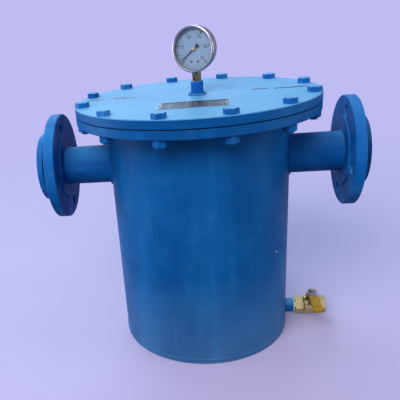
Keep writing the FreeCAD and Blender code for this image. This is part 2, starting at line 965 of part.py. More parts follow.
def draw_screw_circles(sketch):
    for sign in (-1, 1):
        across = size("dial_screw_x") * sign
        draw_circle(sketch, SCREW_HOLE, across, -size("dial_screw_y"))


def movement_frame():
    """Two plates on the socket block with the arbor's bearings, and two pillars between."""
    body = new_body("movement_frame")
    wide = half("block_width")
    thick = size("plate_thick")
    low = -size("frame_low")
    high = size("frame_high")
    notch = high - size("frame_notch_tall")
    narrow = wide - size("frame_notch_wide")
    corners = [
        (-wide, low),
        (wide, low),
        (wide, notch),
        (narrow, notch),
        (narrow, high),
        (-narrow, high),
        (-narrow, notch),
        (-wide, notch),
    ]

    def plate(level):
        sketch = new_sketch(body, "XY_Plane", level)
        draw_polygon(sketch, corners)
        draw_circle(sketch, BEARING_R)
        draw_circle(sketch, BEARING_R, 0, -GEAR_DISTANCE)
        draw_screw_circles(sketch)
        pad(body, sketch, thick)

    plate(PLATE_HALF)
    pillars = new_sketch(body, "XY_Plane", PLATE_HALF)
    pillar_x = wide - size("pillar_inset")
    for x in (-pillar_x, pillar_x):
        draw_circle(pillars, half("pillar_dia"), x, 0)
    pad(body, pillars, PLATE_HALF * 2, backwards=True)
    plate(-PLATE_HALF - thick)
    on_gauge(body)


def involute(angle):
    return math.tan(angle) - angle


def tooth_gap(teeth, root, tip):
    """Corners of the space between two involute teeth, opening along +X."""
    pitch_r = MODULE * teeth / 2
    base_r = pitch_r.value * math.cos(PRESSURE)
    tooth = (math.pi * MODULE.value - size("gear_backlash").value) / 2
    side = []
    for radius in (root, (root + pitch_r) / 2, pitch_r, (pitch_r + tip) / 2, tip):
        roll = math.acos(min(1, base_r / radius.value))
        angle = math.pi / teeth - tooth / 2 / pitch_r.value - involute(PRESSURE) + involute(roll)
        side.append((radius, angle))
    side.append((tip + MODULE, side[-1][1]))
    rising = [(radius * math.cos(a), radius * math.sin(a)) for radius, a in side]
    falling = [(radius * math.cos(a), -radius * math.sin(a)) for radius, a in reversed(side)]
    return falling + rising


def rotated(x, y, turn):
    """The point turned by that many radians about the origin."""
    return x * math.cos(turn) - y * math.sin(turn), x * math.sin(turn) + y * math.cos(turn)


def cut_teeth(body, teeth, root, tip, half_thick, start, count, angle=FULL_TURN):
    """Tooth gaps in a ring or part of one, the first at the start angle."""
    turn = math.radians(start)
    corners = [rotated(x, y, turn) for x, y in tooth_gap(teeth, root, tip)]
    sketch = new_sketch(body, "XY_Plane", half_thick)
    draw_polygon(sketch, corners)
    polar(body, pocket(body, sketch, half_thick * 2), sketch, count, angle)


def gear_sector():
    """A fan of teeth on its own shaft, with two windows and a tail for the tube's link."""
    pitch_r = MODULE * SECTOR_TEETH.value / 2
    tip = pitch_r + MODULE * 0.7
    half_thick = size("sector_half")
    fan_angle = FULL_TURN / SECTOR_TEETH.value * (size("sector_gaps").value - 1)
    body = turned("gear_sector", rectangle(0, tip, -half_thick, half_thick), "Z", fan_angle)
    windows = new_sketch(body, "XY_Plane", half_thick)
    for middle in (-fan_angle / 5, fan_angle / 5):
        draw_polygon(windows, stop_sector(pitch_r * 0.4, pitch_r * 0.76, middle, fan_angle / 7))
    pocket(body, windows, half_thick * 2)
    hub = new_sketch(body, "XY_Plane", -size("sector_hub_half"))
    draw_circle(hub, half("sector_hub_dia"))
    pad(body, hub, size("sector_hub_half") * 2)
    shaft = new_sketch(body, "XY_Plane", -size("sector_shaft_back"))
    draw_circle(shaft, ARBOR_R)
    pad(body, shaft, size("sector_shaft_back") + size("sector_shaft_front"))
    turn = math.radians(size("tail_angle").value)
    long = size("tail_long")
    side = half("tail_wide")
    tail_corners = [(0, -side), (long + side, -side), (long + side, side), (0, side)]
    tail = new_sketch(body, "XY_Plane", -half_thick)
    draw_polygon(tail, [rotated(x, y, turn) for x, y in tail_corners])
    pad(body, tail, half_thick * 2)
    pin_hole = new_sketch(body, "XY_Plane", half_thick)
    draw_circle(pin_hole, half("tail_hole"), *rotated(long, 0, turn))
    pocket(body, pin_hole, half_thick * 2)
    root = pitch_r - MODULE * 1.25
    cut_teeth(body, SECTOR_TEETH.value, root, tip, half_thick, -fan_angle / 2, size("sector_gaps"), fan_angle)
    swing = size("pointer_travel").value * PINION_TEETH.value / SECTOR_TEETH.value
    facing = GAUGE_FACING.multiply(Rotation(Vector(0, 0, 1), 90 - swing / 2))
    keep(place(body, size("gauge_offset"), 0, GAUGE_HUB - GEAR_DISTANCE, facing))


def bourdon_tube():
    """A flattened tube bent round to an open C, fixed in the socket block at its foot."""
    thin = half("tube_thin")
    wide = half("tube_width")
    radius = CASE_IN - size("tube_clear") - thin
    body = new_body("bourdon_tube")
    sketch = new_sketch(body, "XZ_Plane")
    draw_polygon(sketch, rectangle(radius - thin, radius + thin, -wide, wide))
    turn = body.newObject("PartDesign::Revolution", "bourdon_tube_turn")
    turn.Profile = sketch
    turn.ReferenceAxis = (sketch, ["V_Axis"])
    turn.Angle = size("tube_angle").value
    doc.recompute()
    foot = half("block_width") + size("tube_foot_gap")
    start = -math.degrees(math.acos(foot.value / radius.value))
    on_gauge(body)
    body.Placement = body.Placement.multiply(Placement(Vector(), Rotation(Vector(0, 0, 1), start)))


def dial_screws():
    head_r = half("dial_screw_head")
    head_tall = size("dial_screw_tall")
    shank = DIAL_FRONT + PLATE_HALF
    corners = [
        (0, -shank),
        (half("dial_screw_dia"), -shank),
        (half("dial_screw_dia"), 0),
        (head_r, 0),
        (head_r, head_tall * 0.6),
        (head_r * 0.7, head_tall),
        (0, head_tall),
    ]
    seed = turned("dial_screw", corners)
    slot = new_sketch(seed, "XY_Plane", head_tall)
    slot_half = head_tall * 0.35
    draw_polygon(slot, rectangle(-head_r, head_r, -slot_half, slot_half))
    pocket(seed, slot, head_tall / 2)
    solids = []
    for sign in (-1, 1):
        solid = seed.Shape.copy()
        x = size("dial_screw_x").value * sign
        solid.translate(Vector(x, -size("dial_screw_y").value, DIAL_FRONT.value))
        solids.append(solid)
    group = doc.addObject("Part::Feature", "dial_screws")
    group.Shape = Part.makeCompound(solids)
    on_gauge(group)


def gauge_pointer():
    """A tapered hand with a flared tail on a round hub."""
    reach = DIAL_R - size("pointer_short")
    tail = size("pointer_tail")
    level = DIAL_FRONT + size("pointer_lift")
    thick = size("pointer_thick")
    base = half("pointer_base")
    flare = half("pointer_flare")
    body = new_body("gauge_pointer")
    hand = new_sketch(body, "XY_Plane", level)
    corners = [
        (reach, base * 0.14),
        (reach * 0.9, base * 0.4),
        (0, base),
        (-tail * 0.45, base * 0.8),
        (-tail * 0.75, flare),
        (-tail, flare * 0.8),
        (-tail, -flare * 0.8),
        (-tail * 0.75, -flare),
        (-tail * 0.45, -base * 0.8),
        (0, -base),
        (reach * 0.9, -base * 0.4),
        (reach, -base * 0.14),
    ]
    draw_polygon(hand, corners)
    pad(body, hand, thick)
    hub_low = level - size("hub_below")
    hub = new_sketch(body, "XY_Plane", hub_low)
    draw_circle(hub, half("hub_dia"))
    pad(body, hub, size("hub_tall"))
    bore = new_sketch(body, "XY_Plane", hub_low)
    draw_circle(bore, half("arbor_dia"))
    pocket(body, bore, size("hub_tall") - size("hub_below") - HUB_CAP, backwards=True)
    zero = Rotation(Vector(0, 0, 1), size("pointer_zero").value)
    on_gauge(body)
    body.Placement = body.Placement.multiply(Placement(Vector(), zero))


def pointer_arbor():
    """The pointer's shaft with a pinion cut on it, a gap towards the sector at zero."""
    low = -PLATE_HALF - size("plate_thick") - size("arbor_end")
    high = DIAL_FRONT + size("pointer_lift") + size("hub_tall") - size("hub_below") * 2 - HUB_CAP
    body = turned("pointer_arbor", rectangle(0, ARBOR_R, low, high))
    half_thick = size("pinion_half")
    teeth = PINION_TEETH.value
    pitch_r = MODULE * teeth / 2
    tip = pitch_r + MODULE
    blank = new_sketch(body, "XY_Plane", -half_thick)
    draw_circle(blank, tip)
    pad(body, blank, half_thick * 2)
    root = pitch_r - MODULE * 1.25
    cut_teeth(body, teeth, root, tip, half_thick, -90, PINION_TEETH)
    on_gauge(body)


# Nameplate

def nameplate():
    body = new_body("nameplate")
    sketch = new_sketch(body, "XY_Plane")
    long_half = half("plate_long")
    wide_half = half("plate_wide")
    draw_polygon(sketch, rectangle(-long_half, long_half, -wide_half, wide_half))
    sheet_pad = pad(body, sketch, size("plate_sheet"))

    def upright(edge):
        return abs(edge.BoundBox.ZLength - size("plate_sheet").value) < 1e-6

    soften(body, sheet_pad, upright, size("plate_corner"))
    turn = Rotation(Vector(0, 0, 1), size("plate_turn").value)
    keep(place(body, -size("gauge_offset"), -size("plate_back"), COVER_TOP, turn))


# Drain valve. Each piece is made about the ball's centre, with the flow along X.

VALVE_LEFT = size("valve_left")
COUPLING_END = SHELL_R + size("coupling_length")
STATION = COUPLING_END + size("tape_long") + VALVE_LEFT
THREAD_R = half("pipe_thread")
BALL_R = half("ball_dia")
STEM_R = half("stem_dia")
STEM_BORE = STEM_R + size("stem_gap")
LEVER_LOW = size("lever_level")
LEVER_TOP = LEVER_LOW + size("lever_thick")


def on_valve(item):
    return keep(place(item, STATION, 0, size("drain_height")))


def on_drain_line(item):
    return keep(place(item, 0, 0, size("drain_height")))


def drain_line():
    end = COUPLING_END
    outer = half("coupling_dia")
    bore = THREAD_R + size("thread_gap")
    chamfer = size("edge_chamfer")
    corners = [
        (bore, SHELL_IN),
        (outer, SHELL_IN),
        (outer, end - chamfer),
        (outer - chamfer, end),
        (bore, end),
    ]
    on_drain_line(turned("drain_coupling", corners, "X"))
    nipple_half = size("nipple_half")
    nipple = rectangle(half("nipple_bore"), THREAD_R, end - nipple_half, end + nipple_half)
    on_drain_line(turned("drain_nipple", nipple, "X"))
    tape_end = end + size("tape_long")
    tape_thick = size("tape_thick")
    tape = [
        (bore, end),
        (bore + tape_thick, end),
        (bore + tape_thick * 0.7, tape_end),
        (bore, tape_end),
    ]
    on_drain_line(turned("thread_tape", tape, "X"))


def add_hex(body, low, high, flats):
    sketch = new_sketch(body, "YZ_Plane", low)
    draw_hexagon(sketch, flats)
    pad(body, sketch, high - low)


def valve_body():
    """Barrel round the ball, hexagon inlet end, neck for the stem and two lever stops."""
    barrel_r = half("barrel_dia")
    left = -size("hex_left")
    right = size("barrel_right")
    edge = size("barrel_bevel")
    outer = [
        (0, left),
        (barrel_r - edge, left),
        (barrel_r, left + edge),
        (barrel_r, right - edge),
        (barrel_r - edge, right),
        (0, right),
    ]
    body = turned("valve_body", outer, "X")
    add_hex(body, -VALVE_LEFT, left, size("valve_flats"))
    corner = size("valve_flats") * (HEX_CORNER / 2) + 1
    flat = size("valve_flats") / 2
    bevel = [(corner, -VALVE_LEFT), (flat, -VALVE_LEFT), (corner, edge - VALVE_LEFT)]
    groove(body, bevel, "X")
    neck = new_sketch(body, "XY_Plane")
    draw_circle(neck, half("neck_dia"))
    pad(body, neck, size("neck_tall"))
    lever_stops(body)
    bore = [
        (0, -VALVE_LEFT),
        (THREAD_R + size("thread_gap"), -VALVE_LEFT),
        (THREAD_R + size("thread_gap"), -size("inlet_thread_end")),
        (half("port_dia"), edge - size("inlet_thread_end")),
        (half("port_dia"), -size("chamber_half")),
        (half("chamber_dia"), -size("chamber_half")),
        (half("chamber_dia"), size("chamber_half")),
        (half("insert_dia"), size("chamber_half")),
        (half("insert_dia"), right),
        (0, right),
    ]
    groove(body, bore, "X")
    shaft_hole = new_sketch(body, "XY_Plane")
    draw_circle(shaft_hole, STEM_BORE)
    pocket(body, shaft_hole, size("neck_tall"), backwards=True)
    recess = new_sketch(body, "XY_Plane")
    draw_circle(recess, half("stem_shoulder") + size("recess_gap"))
    pocket(body, recess, size("shoulder_high") + size("recess_gap"), backwards=True)
    gland = new_sketch(body, "XY_Plane", size("neck_tall"))
    draw_circle(gland, half("packing_dia"))
    pocket(body, gland, size("neck_tall") - size("packing_low"))
    on_valve(body)


def stop_sector(inner, outer, middle, half_angle):
    """Corners of a block on a ring about the stem, from inner to outer radius."""
    corners = []
    for radius, side in ((inner, -1), (outer, -1), (outer, 1), (inner, 1)):
        angle = math.radians(middle + side * half_angle)
        corners.append((radius * math.cos(angle), radius * math.sin(angle)))
    return corners


def lever_stops(body):
    """Two lugs that meet the lever's tab at the two ends of its travel."""
    tab_half = size("stop_half_angle").value
    away = 2 * tab_half + size("stop_slack").value
    inner = size("stop_radius") - size("stop_deep") / 2
    outer = size("stop_radius") + size("stop_deep") / 2
    closed_tab = 90
    open_tab = closed_tab + size("lever_travel").value
    for middle in (closed_tab - away, open_tab + away):
        sketch = new_sketch(body, "XY_Plane", size("neck_tall") - size("stop_sunk"))
        draw_polygon(sketch, stop_sector(inner, outer, middle, tab_half))
        pad(body, sketch, size("stop_rise") + size("stop_sunk"))


def valve_end_piece():
    """The screwed insert that closes the chamber, with the outlet thread in its hexagon."""
    spigot = half("insert_dia") - size("thread_gap")
    body = turned(
        "valve_end_piece",
        rectangle(0, spigot, size("chamber_half"), size("barrel_right")),
        "X",
    )
    add_hex(body, size("barrel_right"), size("valve_right"), size("valve_flats"))
    end = size("valve_right")
    corner = size("valve_flats") * (HEX_CORNER / 2) + 1
    flat = size("valve_flats") / 2 * 0.96
    groove(body, [(corner, end), (flat, end), (corner, end - size("end_bevel"))], "X")
    thread_start = end - size("outlet_thread_long")
    bore = [
        (0, size("chamber_half")),
        (half("port_dia"), size("chamber_half")),
        (half("port_dia"), thread_start),
        (half("outlet_thread"), thread_start),
        (half("outlet_thread"), end),
        (0, end),
    ]
    groove(body, bore, "X")
    on_valve(body)


def valve_seats():
    """Two soft rings whose cones face the ball."""
    cone = (BALL_R + size("seat_gap")) * math.sqrt(2)
    outer = half("chamber_dia") - size("thread_gap")
    inner = half("seat_bore")
    near = size("seat_inner")
    corners = [
        (inner, size("chamber_half")),
        (outer, size("chamber_half")),
        (outer, near),
        (cone - near, near),
        (inner, cone - inner),
    ]
    seed = turned("valve_seat", corners, "X")
    group = doc.addObject("Part::Feature", "valve_seats")
    other = seed.Shape.copy()
    other.rotate(Vector(), Vector(0, 0, 1), 180)
    group.Shape = Part.makeCompound([seed.Shape.copy(), other])
    on_valve(group)


def valve_ball():
    """The ball in its closed place, with its port across the flow and the slot on top."""
    ball = doc.addObject("Part::Sphere", "ball_blank")
    ball.setExpression("Radius", BALL_R.text)
    port = doc.addObject("Part::Cylinder", "ball_port")
    port.setExpression("Radius", half("port_dia").text)
    port.setExpression("Height", size("ball_dia").text)
    place(port, 0, BALL_R, 0, Rotation(Vector(1, 0, 0), 90))
    slot = doc.addObject("Part::Box", "ball_slot")
    slot_wide = size("tongue_thick") + size("tongue_play")
    slot.setExpression("Length", slot_wide.text)
    slot.setExpression("Width", size("ball_dia").text)
    slot.setExpression("Height", size("ball_dia").text)
    slot_floor = BALL_R - size("tongue_deep")
    place(slot, -slot_wide / 2, -BALL_R, slot_floor)
    ported = doc.addObject("Part::Cut", "ball_ported")
    ported.Base = ball
    ported.Tool = port
    finished = doc.addObject("Part::Cut", "valve_ball")
    finished.Base = ported
    finished.Tool = slot
    on_valve(finished)


def valve_stem():
    """Tongue, shoulder, round shaft, two flats for the lever and a threaded end."""
    body = new_body("valve_stem")
    low = BALL_R - size("tongue_deep") + size("tongue_play")
    shoulder = size("shoulder_low")
    tongue = new_sketch(body, "XY_Plane", low)
    thick = half("tongue_thick")
    wide = half("tongue_wide")
    draw_polygon(tongue, rectangle(-thick, thick, -wide, wide))
    pad(body, tongue, shoulder - low + size("tongue_root"))
    steps = (
        (shoulder, size("shoulder_high"), half("stem_shoulder")),
        (size("shoulder_high"), LEVER_TOP, STEM_R),
        (LEVER_TOP, size("stem_top"), half("stem_top_dia")),
    )
    for start, end, radius in steps:
        sketch = new_sketch(body, "XY_Plane", start)
        draw_circle(sketch, radius)
        pad(body, sketch, end - start)
    flats = new_sketch(body, "XY_Plane", LEVER_TOP)
    flat = half("stem_flats")
    for sign in (-1, 1):
        near = flat * sign
        far = (STEM_R + 1) * sign
        draw_polygon(flats, rectangle(near, far, -STEM_R - 1, STEM_R + 1))
    pocket(body, flats, size("lever_thick"))
    on_valve(body)


def stem_seal():
    packing_r = half("packing_dia") - size("thread_gap")
    low = size("packing_low")
    high = size("packing_high")
    on_valve(turned("stem_packing", rectangle(STEM_BORE, packing_r, low, high)))
    neck = size("neck_tall")
    gland = hex_piece("gland_nut", size("gland_flats"), size("gland_tall"), STEM_BORE * 2, 0.97)
    spigot = new_sketch(gland, "XY_Plane")
    draw_circle(spigot, packing_r)
    draw_circle(spigot, STEM_BORE)
    pad(gland, spigot, neck - high, backwards=True)
    keep(place(gland, STATION, 0, size("drain_height") + neck))


def valve_lever():
    """A pressed strip on the stem's flats, bent down a little, with a stop tab behind."""
    body = new_body("valve_lever")
    thick = size("lever_thick")
    drop = size("lever_drop")
    bend_start = half("lever_root") + size("bend_gap")
    bend_end = bend_start + size("bend_run")
    reach = size("lever_reach")
    root = new_sketch(body, "XY_Plane", LEVER_LOW)
    draw_circle(root, half("lever_root"))
    pad(body, root, thick)
    arm = new_sketch(body, "YZ_Plane")
    corners = [
        (0, LEVER_LOW),
        (-bend_start, LEVER_LOW),
        (-bend_end, LEVER_LOW - drop),
        (-reach, LEVER_LOW - drop),
        (-reach, LEVER_TOP - drop),
        (-bend_end, LEVER_TOP - drop),
        (-bend_start, LEVER_TOP),
        (0, LEVER_TOP),
    ]
    draw_polygon(arm, corners)
    pad(body, arm, size("lever_wide"), midplane=True)
    inner = size("stop_radius") - size("stop_deep") / 2
    outer = size("stop_radius") + size("stop_deep") / 2
    tab = new_sketch(body, "XY_Plane", LEVER_LOW)
    draw_polygon(tab, stop_sector(inner, outer, 90, size("stop_half_angle").value))
    pad(body, tab, size("tab_drop"), backwards=True)
    hole = new_sketch(body, "XY_Plane", LEVER_LOW)
    flat = half("stem_flats")
    draw_polygon(hole, rectangle(-flat, flat, -STEM_R, STEM_R))
    pocket(body, hole, thick, backwards=True)
    on_valve(body)


def lever_grip():
    """A dipped sleeve on the arm, rounded at its end."""
    middle = LEVER_LOW - size("lever_drop") + size("lever_thick") / 2
    start = size("grip_start")
    end = size("grip_end")
    wide = half("grip_wide")
    body = new_body("lever_grip")
    sketch = new_sketch(body, "XY_Plane", middle)
    tip = size("grip_tip")
    bevel = tip / 3
    corners = [
        (bevel - wide, -start),
        (-wide, -start - bevel * 2),
        (-wide, tip - end),
        (bevel - wide, bevel - end),
        (tip - wide, -end),
        (wide - tip, -end),
        (wide - bevel, bevel - end),
        (wide, tip - end),
        (wide, -start - bevel * 2),
        (wide - bevel, -start),
    ]
    draw_polygon(sketch, corners)
    blank = pad(body, sketch, size("grip_thick"), midplane=True)
    half_thick = size("grip_thick").value / 2

    def long_edge(edge):
        box = edge.BoundBox
        level = abs(abs(box.Center.z - middle.value) - half_thick) < 1e-4
        return level and box.ZLength < 1e-4

    soften(body, blank, long_edge, size("grip_round"))
    slot = new_sketch(body, "YZ_Plane")
    low = LEVER_LOW - size("lever_drop")
    high = low + size("lever_thick")
    draw_polygon(slot, rectangle(-size("lever_reach"), tip - start, low, high))
    pocket(body, slot, size("lever_wide"), midplane=True)
    on_valve(body)


def lever_nut():
    bore = size("stem_top_dia") + 2 * size("thread_gap")
    nut = hex_piece("lever_nut", size("lever_nut_flats"), size("lever_nut_tall"), bore)
    keep(place(nut, STATION, 0, size("drain_height") + LEVER_TOP))


def check_document():
    doc.recompute()
    for item in doc.Objects:
        if "Invalid" in item.State or "Error" in item.State:
            raise ValueError("%s has state %s" % (item.Name, item.State))
    for item in PARTS:
        if item.Shape.isNull() or not item.Shape.isValid():
            raise ValueError("%s has no valid shape" % item.Label)


def export_parts():
    os.makedirs("parts", exist_ok=True)
    for item in PARTS:
        item.Shape.exportStep("parts/%s.step" % item.Label)


for make_vessel in (bottom_plate, shell_tube, shell_flange, cover_gasket, cover_plate, cover_bolts):
    make_vessel()
nozzle("inlet", BACKWARDS, -1)
nozzle("outlet", Rotation(), 1)
for make_inside in (inlet_baffle, outlet_elbow, filter_cartridge, splash_plate):
    make_inside()
for make_gauge in (
    gauge_boss,
    gauge_socket,
    gauge_case,
    gauge_bezel,
    gauge_glass_and_dial,
    movement_frame,
    bourdon_tube,
    dial_screws,
    gauge_pointer,
    pointer_arbor,
    gear_sector,
    nameplate,
):
    make_gauge()
for make_valve in (
    drain_line,
    valve_body,
    valve_end_piece,
    valve_seats,
    valve_ball,
    valve_stem,
    stem_seal,
    valve_lever,
    lever_grip,
    lever_nut,
):
    make_valve()
check_document()
export_parts()
print("%d parts written" % len(PARTS))
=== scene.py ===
import json
import math
import random

import bpy
from mathutils import Matrix, Vector


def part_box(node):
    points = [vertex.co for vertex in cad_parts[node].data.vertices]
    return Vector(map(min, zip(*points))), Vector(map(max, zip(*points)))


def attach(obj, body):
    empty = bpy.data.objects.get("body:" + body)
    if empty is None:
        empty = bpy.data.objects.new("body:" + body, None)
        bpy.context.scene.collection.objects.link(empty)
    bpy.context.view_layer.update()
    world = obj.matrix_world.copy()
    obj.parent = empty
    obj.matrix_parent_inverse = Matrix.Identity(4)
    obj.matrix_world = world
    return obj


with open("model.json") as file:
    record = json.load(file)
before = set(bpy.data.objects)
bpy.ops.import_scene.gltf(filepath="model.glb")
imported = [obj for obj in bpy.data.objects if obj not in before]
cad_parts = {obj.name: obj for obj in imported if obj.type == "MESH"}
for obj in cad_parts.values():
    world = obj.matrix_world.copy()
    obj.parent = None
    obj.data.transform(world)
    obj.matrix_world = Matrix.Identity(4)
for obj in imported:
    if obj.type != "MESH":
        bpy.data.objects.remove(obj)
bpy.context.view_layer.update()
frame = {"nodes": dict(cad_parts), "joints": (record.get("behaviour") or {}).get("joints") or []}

# Looks of the water separator, in metres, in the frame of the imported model

MM = 0.001
NODES = frame["nodes"]
JOINT_PLACES = {joint["name"]: Vector(joint["pos_m"]) for joint in frame["joints"]}


# Places and sizes of the solids that the scene's own pieces meet

def middle(node):
    """The centre of a node's box at rest."""
    low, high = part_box(node)
    return (low + high) / 2


SHELL_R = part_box("shell_tube")[1].x
BASE_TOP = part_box("bottom_plate")[1].z
FLANGE_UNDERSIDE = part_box("shell_flange")[0].z
COVER_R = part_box("cover_plate")[1].x
COVER_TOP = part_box("cover_plate")[1].z
BOLT_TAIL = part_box("cover_bolts")[0].z
NOZZLE = middle("inlet_collar").z
PIPE_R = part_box("outlet_pipe")[1].z - NOZZLE
PIPE_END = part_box("outlet_pipe")[1].x
COLLAR_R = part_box("inlet_collar")[1].y
INLET_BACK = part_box("inlet_collar")[1].x
OUTLET_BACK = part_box("outlet_collar")[0].x
DRAIN = middle("valve_end_piece").z
COUPLING_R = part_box("drain_coupling")[1].z - DRAIN
TAPE_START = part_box("thread_tape")[0].x
VALVE = JOINT_PLACES["valve_turn"].x
GAUGE_X = middle("gauge_boss").x
BOSS_FOOT_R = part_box("gauge_boss")[1].x - GAUGE_X
BOSS_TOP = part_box("gauge_boss")[1].z
HUB = JOINT_PLACES["pointer_turn"]
GAUGE_TURN = math.radians(-25)
# The gauge's own frame has X to the reader's right, Y up and Z out of the dial
GAUGE = (
    Matrix.Translation(HUB)
    @ Matrix.Rotation(GAUGE_TURN, 4, "Z")
    @ Matrix.Rotation(math.pi / 2, 4, "X")
)


# Materials

NO_STRETCH = (1, 1, 1)


def linear(red, green, blue):
    """An 8-bit colour as the linear values that a shader takes."""
    shares = [c / 255 for c in (red, green, blue)]
    values = [((c + 0.055) / 1.055) ** 2.4 if c > 0.04 else c / 12.92 for c in shares]
    return (*values, 1.0)


class Surface:
    """A material's node tree, with short calls for the nodes that repeat."""

    def __init__(self, name, metallic=0.0, **shader_values):
        self.material = bpy.data.materials.new(name)
        self.material.use_nodes = True
        tree = self.material.node_tree
        self.nodes = tree.nodes
        self.links = tree.links
        self.shader = self.nodes["Principled BSDF"]
        self.shader.inputs["Metallic"].default_value = metallic
        for key, value in shader_values.items():
            self.shader.inputs[key.replace("_", " ")].default_value = value
        coordinates = self.nodes.new("ShaderNodeTexCoord")
        self.place = coordinates.outputs["Object"]
        self.facing = coordinates.outputs["Normal"]
        self.normal = None

    def add(self, kind, inputs, **settings):
        """A node whose inputs are linked to a socket or set to a value."""
        node = self.nodes.new("ShaderNode" + kind)
        for key, value in settings.items():
            setattr(node, key, value)
        for key, source in inputs.items():
            if isinstance(source, bpy.types.NodeSocket):
                self.links.new(source, node.inputs[key])
            else:
                node.inputs[key].default_value = source
        return node

    def mix(self, factor, low, high):
        """A mix of two colours, by the sockets that a Mix node has for colours."""
        return self.add("Mix", {0: factor, 6: low, 7: high}, data_type="RGBA").outputs[2]

    def math(self, operation, first, second=0.0):
        return self.add("Math", {0: first, 1: second}, operation=operation).outputs[0]

    def vector(self, operation, first, second):
        return self.add("VectorMath", {0: first, 1: second}, operation=operation).outputs[0]

    def measure(self, operation, *vectors):
        """A length, distance or product of vectors, as one number."""
        inputs = dict(enumerate(vectors))
        return self.add("VectorMath", inputs, operation=operation).outputs["Value"]

    def part(self, vector, axis):
        return self.add("SeparateXYZ", {0: vector}).outputs[axis]

    def noise(self, scale, detail, stretch=NO_STRETCH, roughness=0.55):
        place = self.place
        if stretch != NO_STRETCH:
            place = self.vector("MULTIPLY", place, stretch)
        inputs = {"Vector": place, "Scale": scale, "Detail": detail, "Roughness": roughness}
        return self.add("TexNoise", inputs).outputs[0]

    def span(self, source, low, high, start=0.0, end=1.0):
        """From start to end while the source goes from low to high, and level outside."""
        inputs = {"Value": source, "From Min": low, "From Max": high, "To Min": start, "To Max": end}
        return self.add("MapRange", inputs).outputs[0]

    def vary(self, noise, start, end):
        """From start to end over the values that a noise mostly has."""
        return self.span(noise, 0.3, 0.7, start, end)

    def between(self, source, low, high):
        """1 where the source is between two values, else 0."""
        off = self.math("ABSOLUTE", self.math("SUBTRACT", source, (low + high) / 2))
        return self.math("LESS_THAN", off, (high - low) / 2)

    def line_distance(self, start, along, length=None):
        """How far a point is from an endless line, or from the stretch of it that has a length."""
        shifted = self.vector("SUBTRACT", self.place, start)
        station = self.measure("DOT_PRODUCT", shifted, along)
        if length:
            station = self.math("MINIMUM", self.math("MAXIMUM", station, 0.0), length)
        foot = self.add("VectorMath", {0: along, "Scale": station}, operation="SCALE").outputs[0]
        return self.measure("LENGTH", self.vector("SUBTRACT", shifted, foot))

    def bump(self, height, strength, distance):
        """Relief that adds to the relief made so far."""
        inputs = {"Height": height, "Strength": strength, "Distance": distance}
        if self.normal:
            inputs["Normal"] = self.normal
        self.normal = self.add("Bump", inputs).outputs[0]

    def finish(self, colour, roughness):
        """The material, with its colour, roughness and relief linked to the shader."""
        self.links.new(colour, self.shader.inputs["Base Color"])
        self.links.new(roughness, self.shader.inputs["Roughness"])
        if self.normal:
            self.links.new(self.normal, self.shader.inputs["Normal"])
        return self.material


# Blue enamel: dark, base and light tones of each coat, what lies on it or shows under it, and the
# painted sky sheen and painted shade put on it

SHELL_TONES = (linear(6, 72, 137), linear(9, 90, 159), linear(28, 114, 184))
FITTING_TONES = (linear(7, 74, 146), linear(12, 97, 178), linear(42, 130, 206))
BOLT_TONES = (linear(6, 78, 148), linear(14, 102, 177), linear(64, 146, 208))
# Paler tones for what faces up: partly sun-fading and dust, partly a painted sheen of sky light
SHELL_FADE_AND_SHEEN = linear(70, 144, 200)
COVER_FADE_AND_SHEEN = linear(114, 181, 223)
FLOOR_DUST = linear(132, 160, 178)
# Painted shade: near-black blue for the shadow in the nozzles' gaps
PAINTED_GAP_SHADE = linear(3, 18, 40)
PRIMER = linear(96, 60, 44)

ALONG_X = (0.12, 1, 1)
UPRIGHT = (1, 1, 0.12)
DUST_TOP = 0.15
DUST_SHARE = 0.2

# Scratches on the cover: start, end, half width, colour
SCRATCHES = (
    ((-0.1659, 0.0064, COVER_TOP), (-0.1464, 0.0131, COVER_TOP), 3.4 * MM, linear(110, 60, 56)),
    ((-0.1269, 0.0162, COVER_TOP), (-0.0945, 0.0108, COVER_TOP), 3.4 * MM, linear(104, 52, 58)),
    ((0.0887, 0.0122, COVER_TOP), (0.1049, 0.0124, COVER_TOP), 3.8 * MM, linear(72, 26, 30)),
    ((0.1212, 0.0064, COVER_TOP), (0.1615, 0.0067, COVER_TOP), 3.8 * MM, linear(66, 24, 42)),
)
# A white spot on the shell: centre, radius, colour
SPECKS = (((0.1138, -0.0815, 0.1654), 1.1 * MM, linear(228, 232, 236)),)
# Painted shade bands for the shadow in the inlet's open gap and on the outlet collar's edge:
# first and last place along X, inner and outer radius about the nozzles' axis, strength
PAINTED_SHADE_BANDS = (
    (INLET_BACK - 5.3 * MM, INLET_BACK + 8.1 * MM, PIPE_R - 0.4 * MM, COLLAR_R + 0.7 * MM, 1.0),
    (OUTLET_BACK + 0.2 * MM, OUTLET_BACK + 13.8 * MM, COLLAR_R - 7 * MM, COLLAR_R + 7 * MM, 0.6),
)


def add_clouds(surface, tone, dark, pale, share):
    """Patches that are paler or darker than the coat."""
    patches = surface.noise(38.0, detail=5.0, roughness=0.7)
    tone = surface.mix(surface.span(patches, 0.5, 0.72, 0.0, share), tone, pale)
    return surface.mix(surface.span(patches, 0.5, 0.3, 0.0, share), tone, dark)


def add_floor_dust(surface, tone, broad):
    """Dust that thins out with the height above the floor."""
    height = surface.part(surface.place, "Z")
    share = surface.span(height, DUST_TOP, 0.0, 0.0, DUST_SHARE)
    share = surface.math("MULTIPLY", share, surface.vary(broad, 0.6, 1.0))
    return surface.mix(share, tone, FLOOR_DUST)


def add_bands(surface, tone, shade_bands):
    """Painted shade in rings about the nozzles' axis, darkening the gaps where shadow falls."""
    station = surface.part(surface.place, "X")
    from_axis = surface.line_distance((0, 0, NOZZLE), (1, 0, 0))
    for first, last, inner, outer, strength in shade_bands:
        in_depth = surface.between(station, first, last)
        in_ring = surface.between(from_axis, inner, outer)
        share = surface.math("MULTIPLY", surface.math("MULTIPLY", in_depth, in_ring), strength)
        tone = surface.mix(share, tone, PAINTED_GAP_SHADE)
    return tone


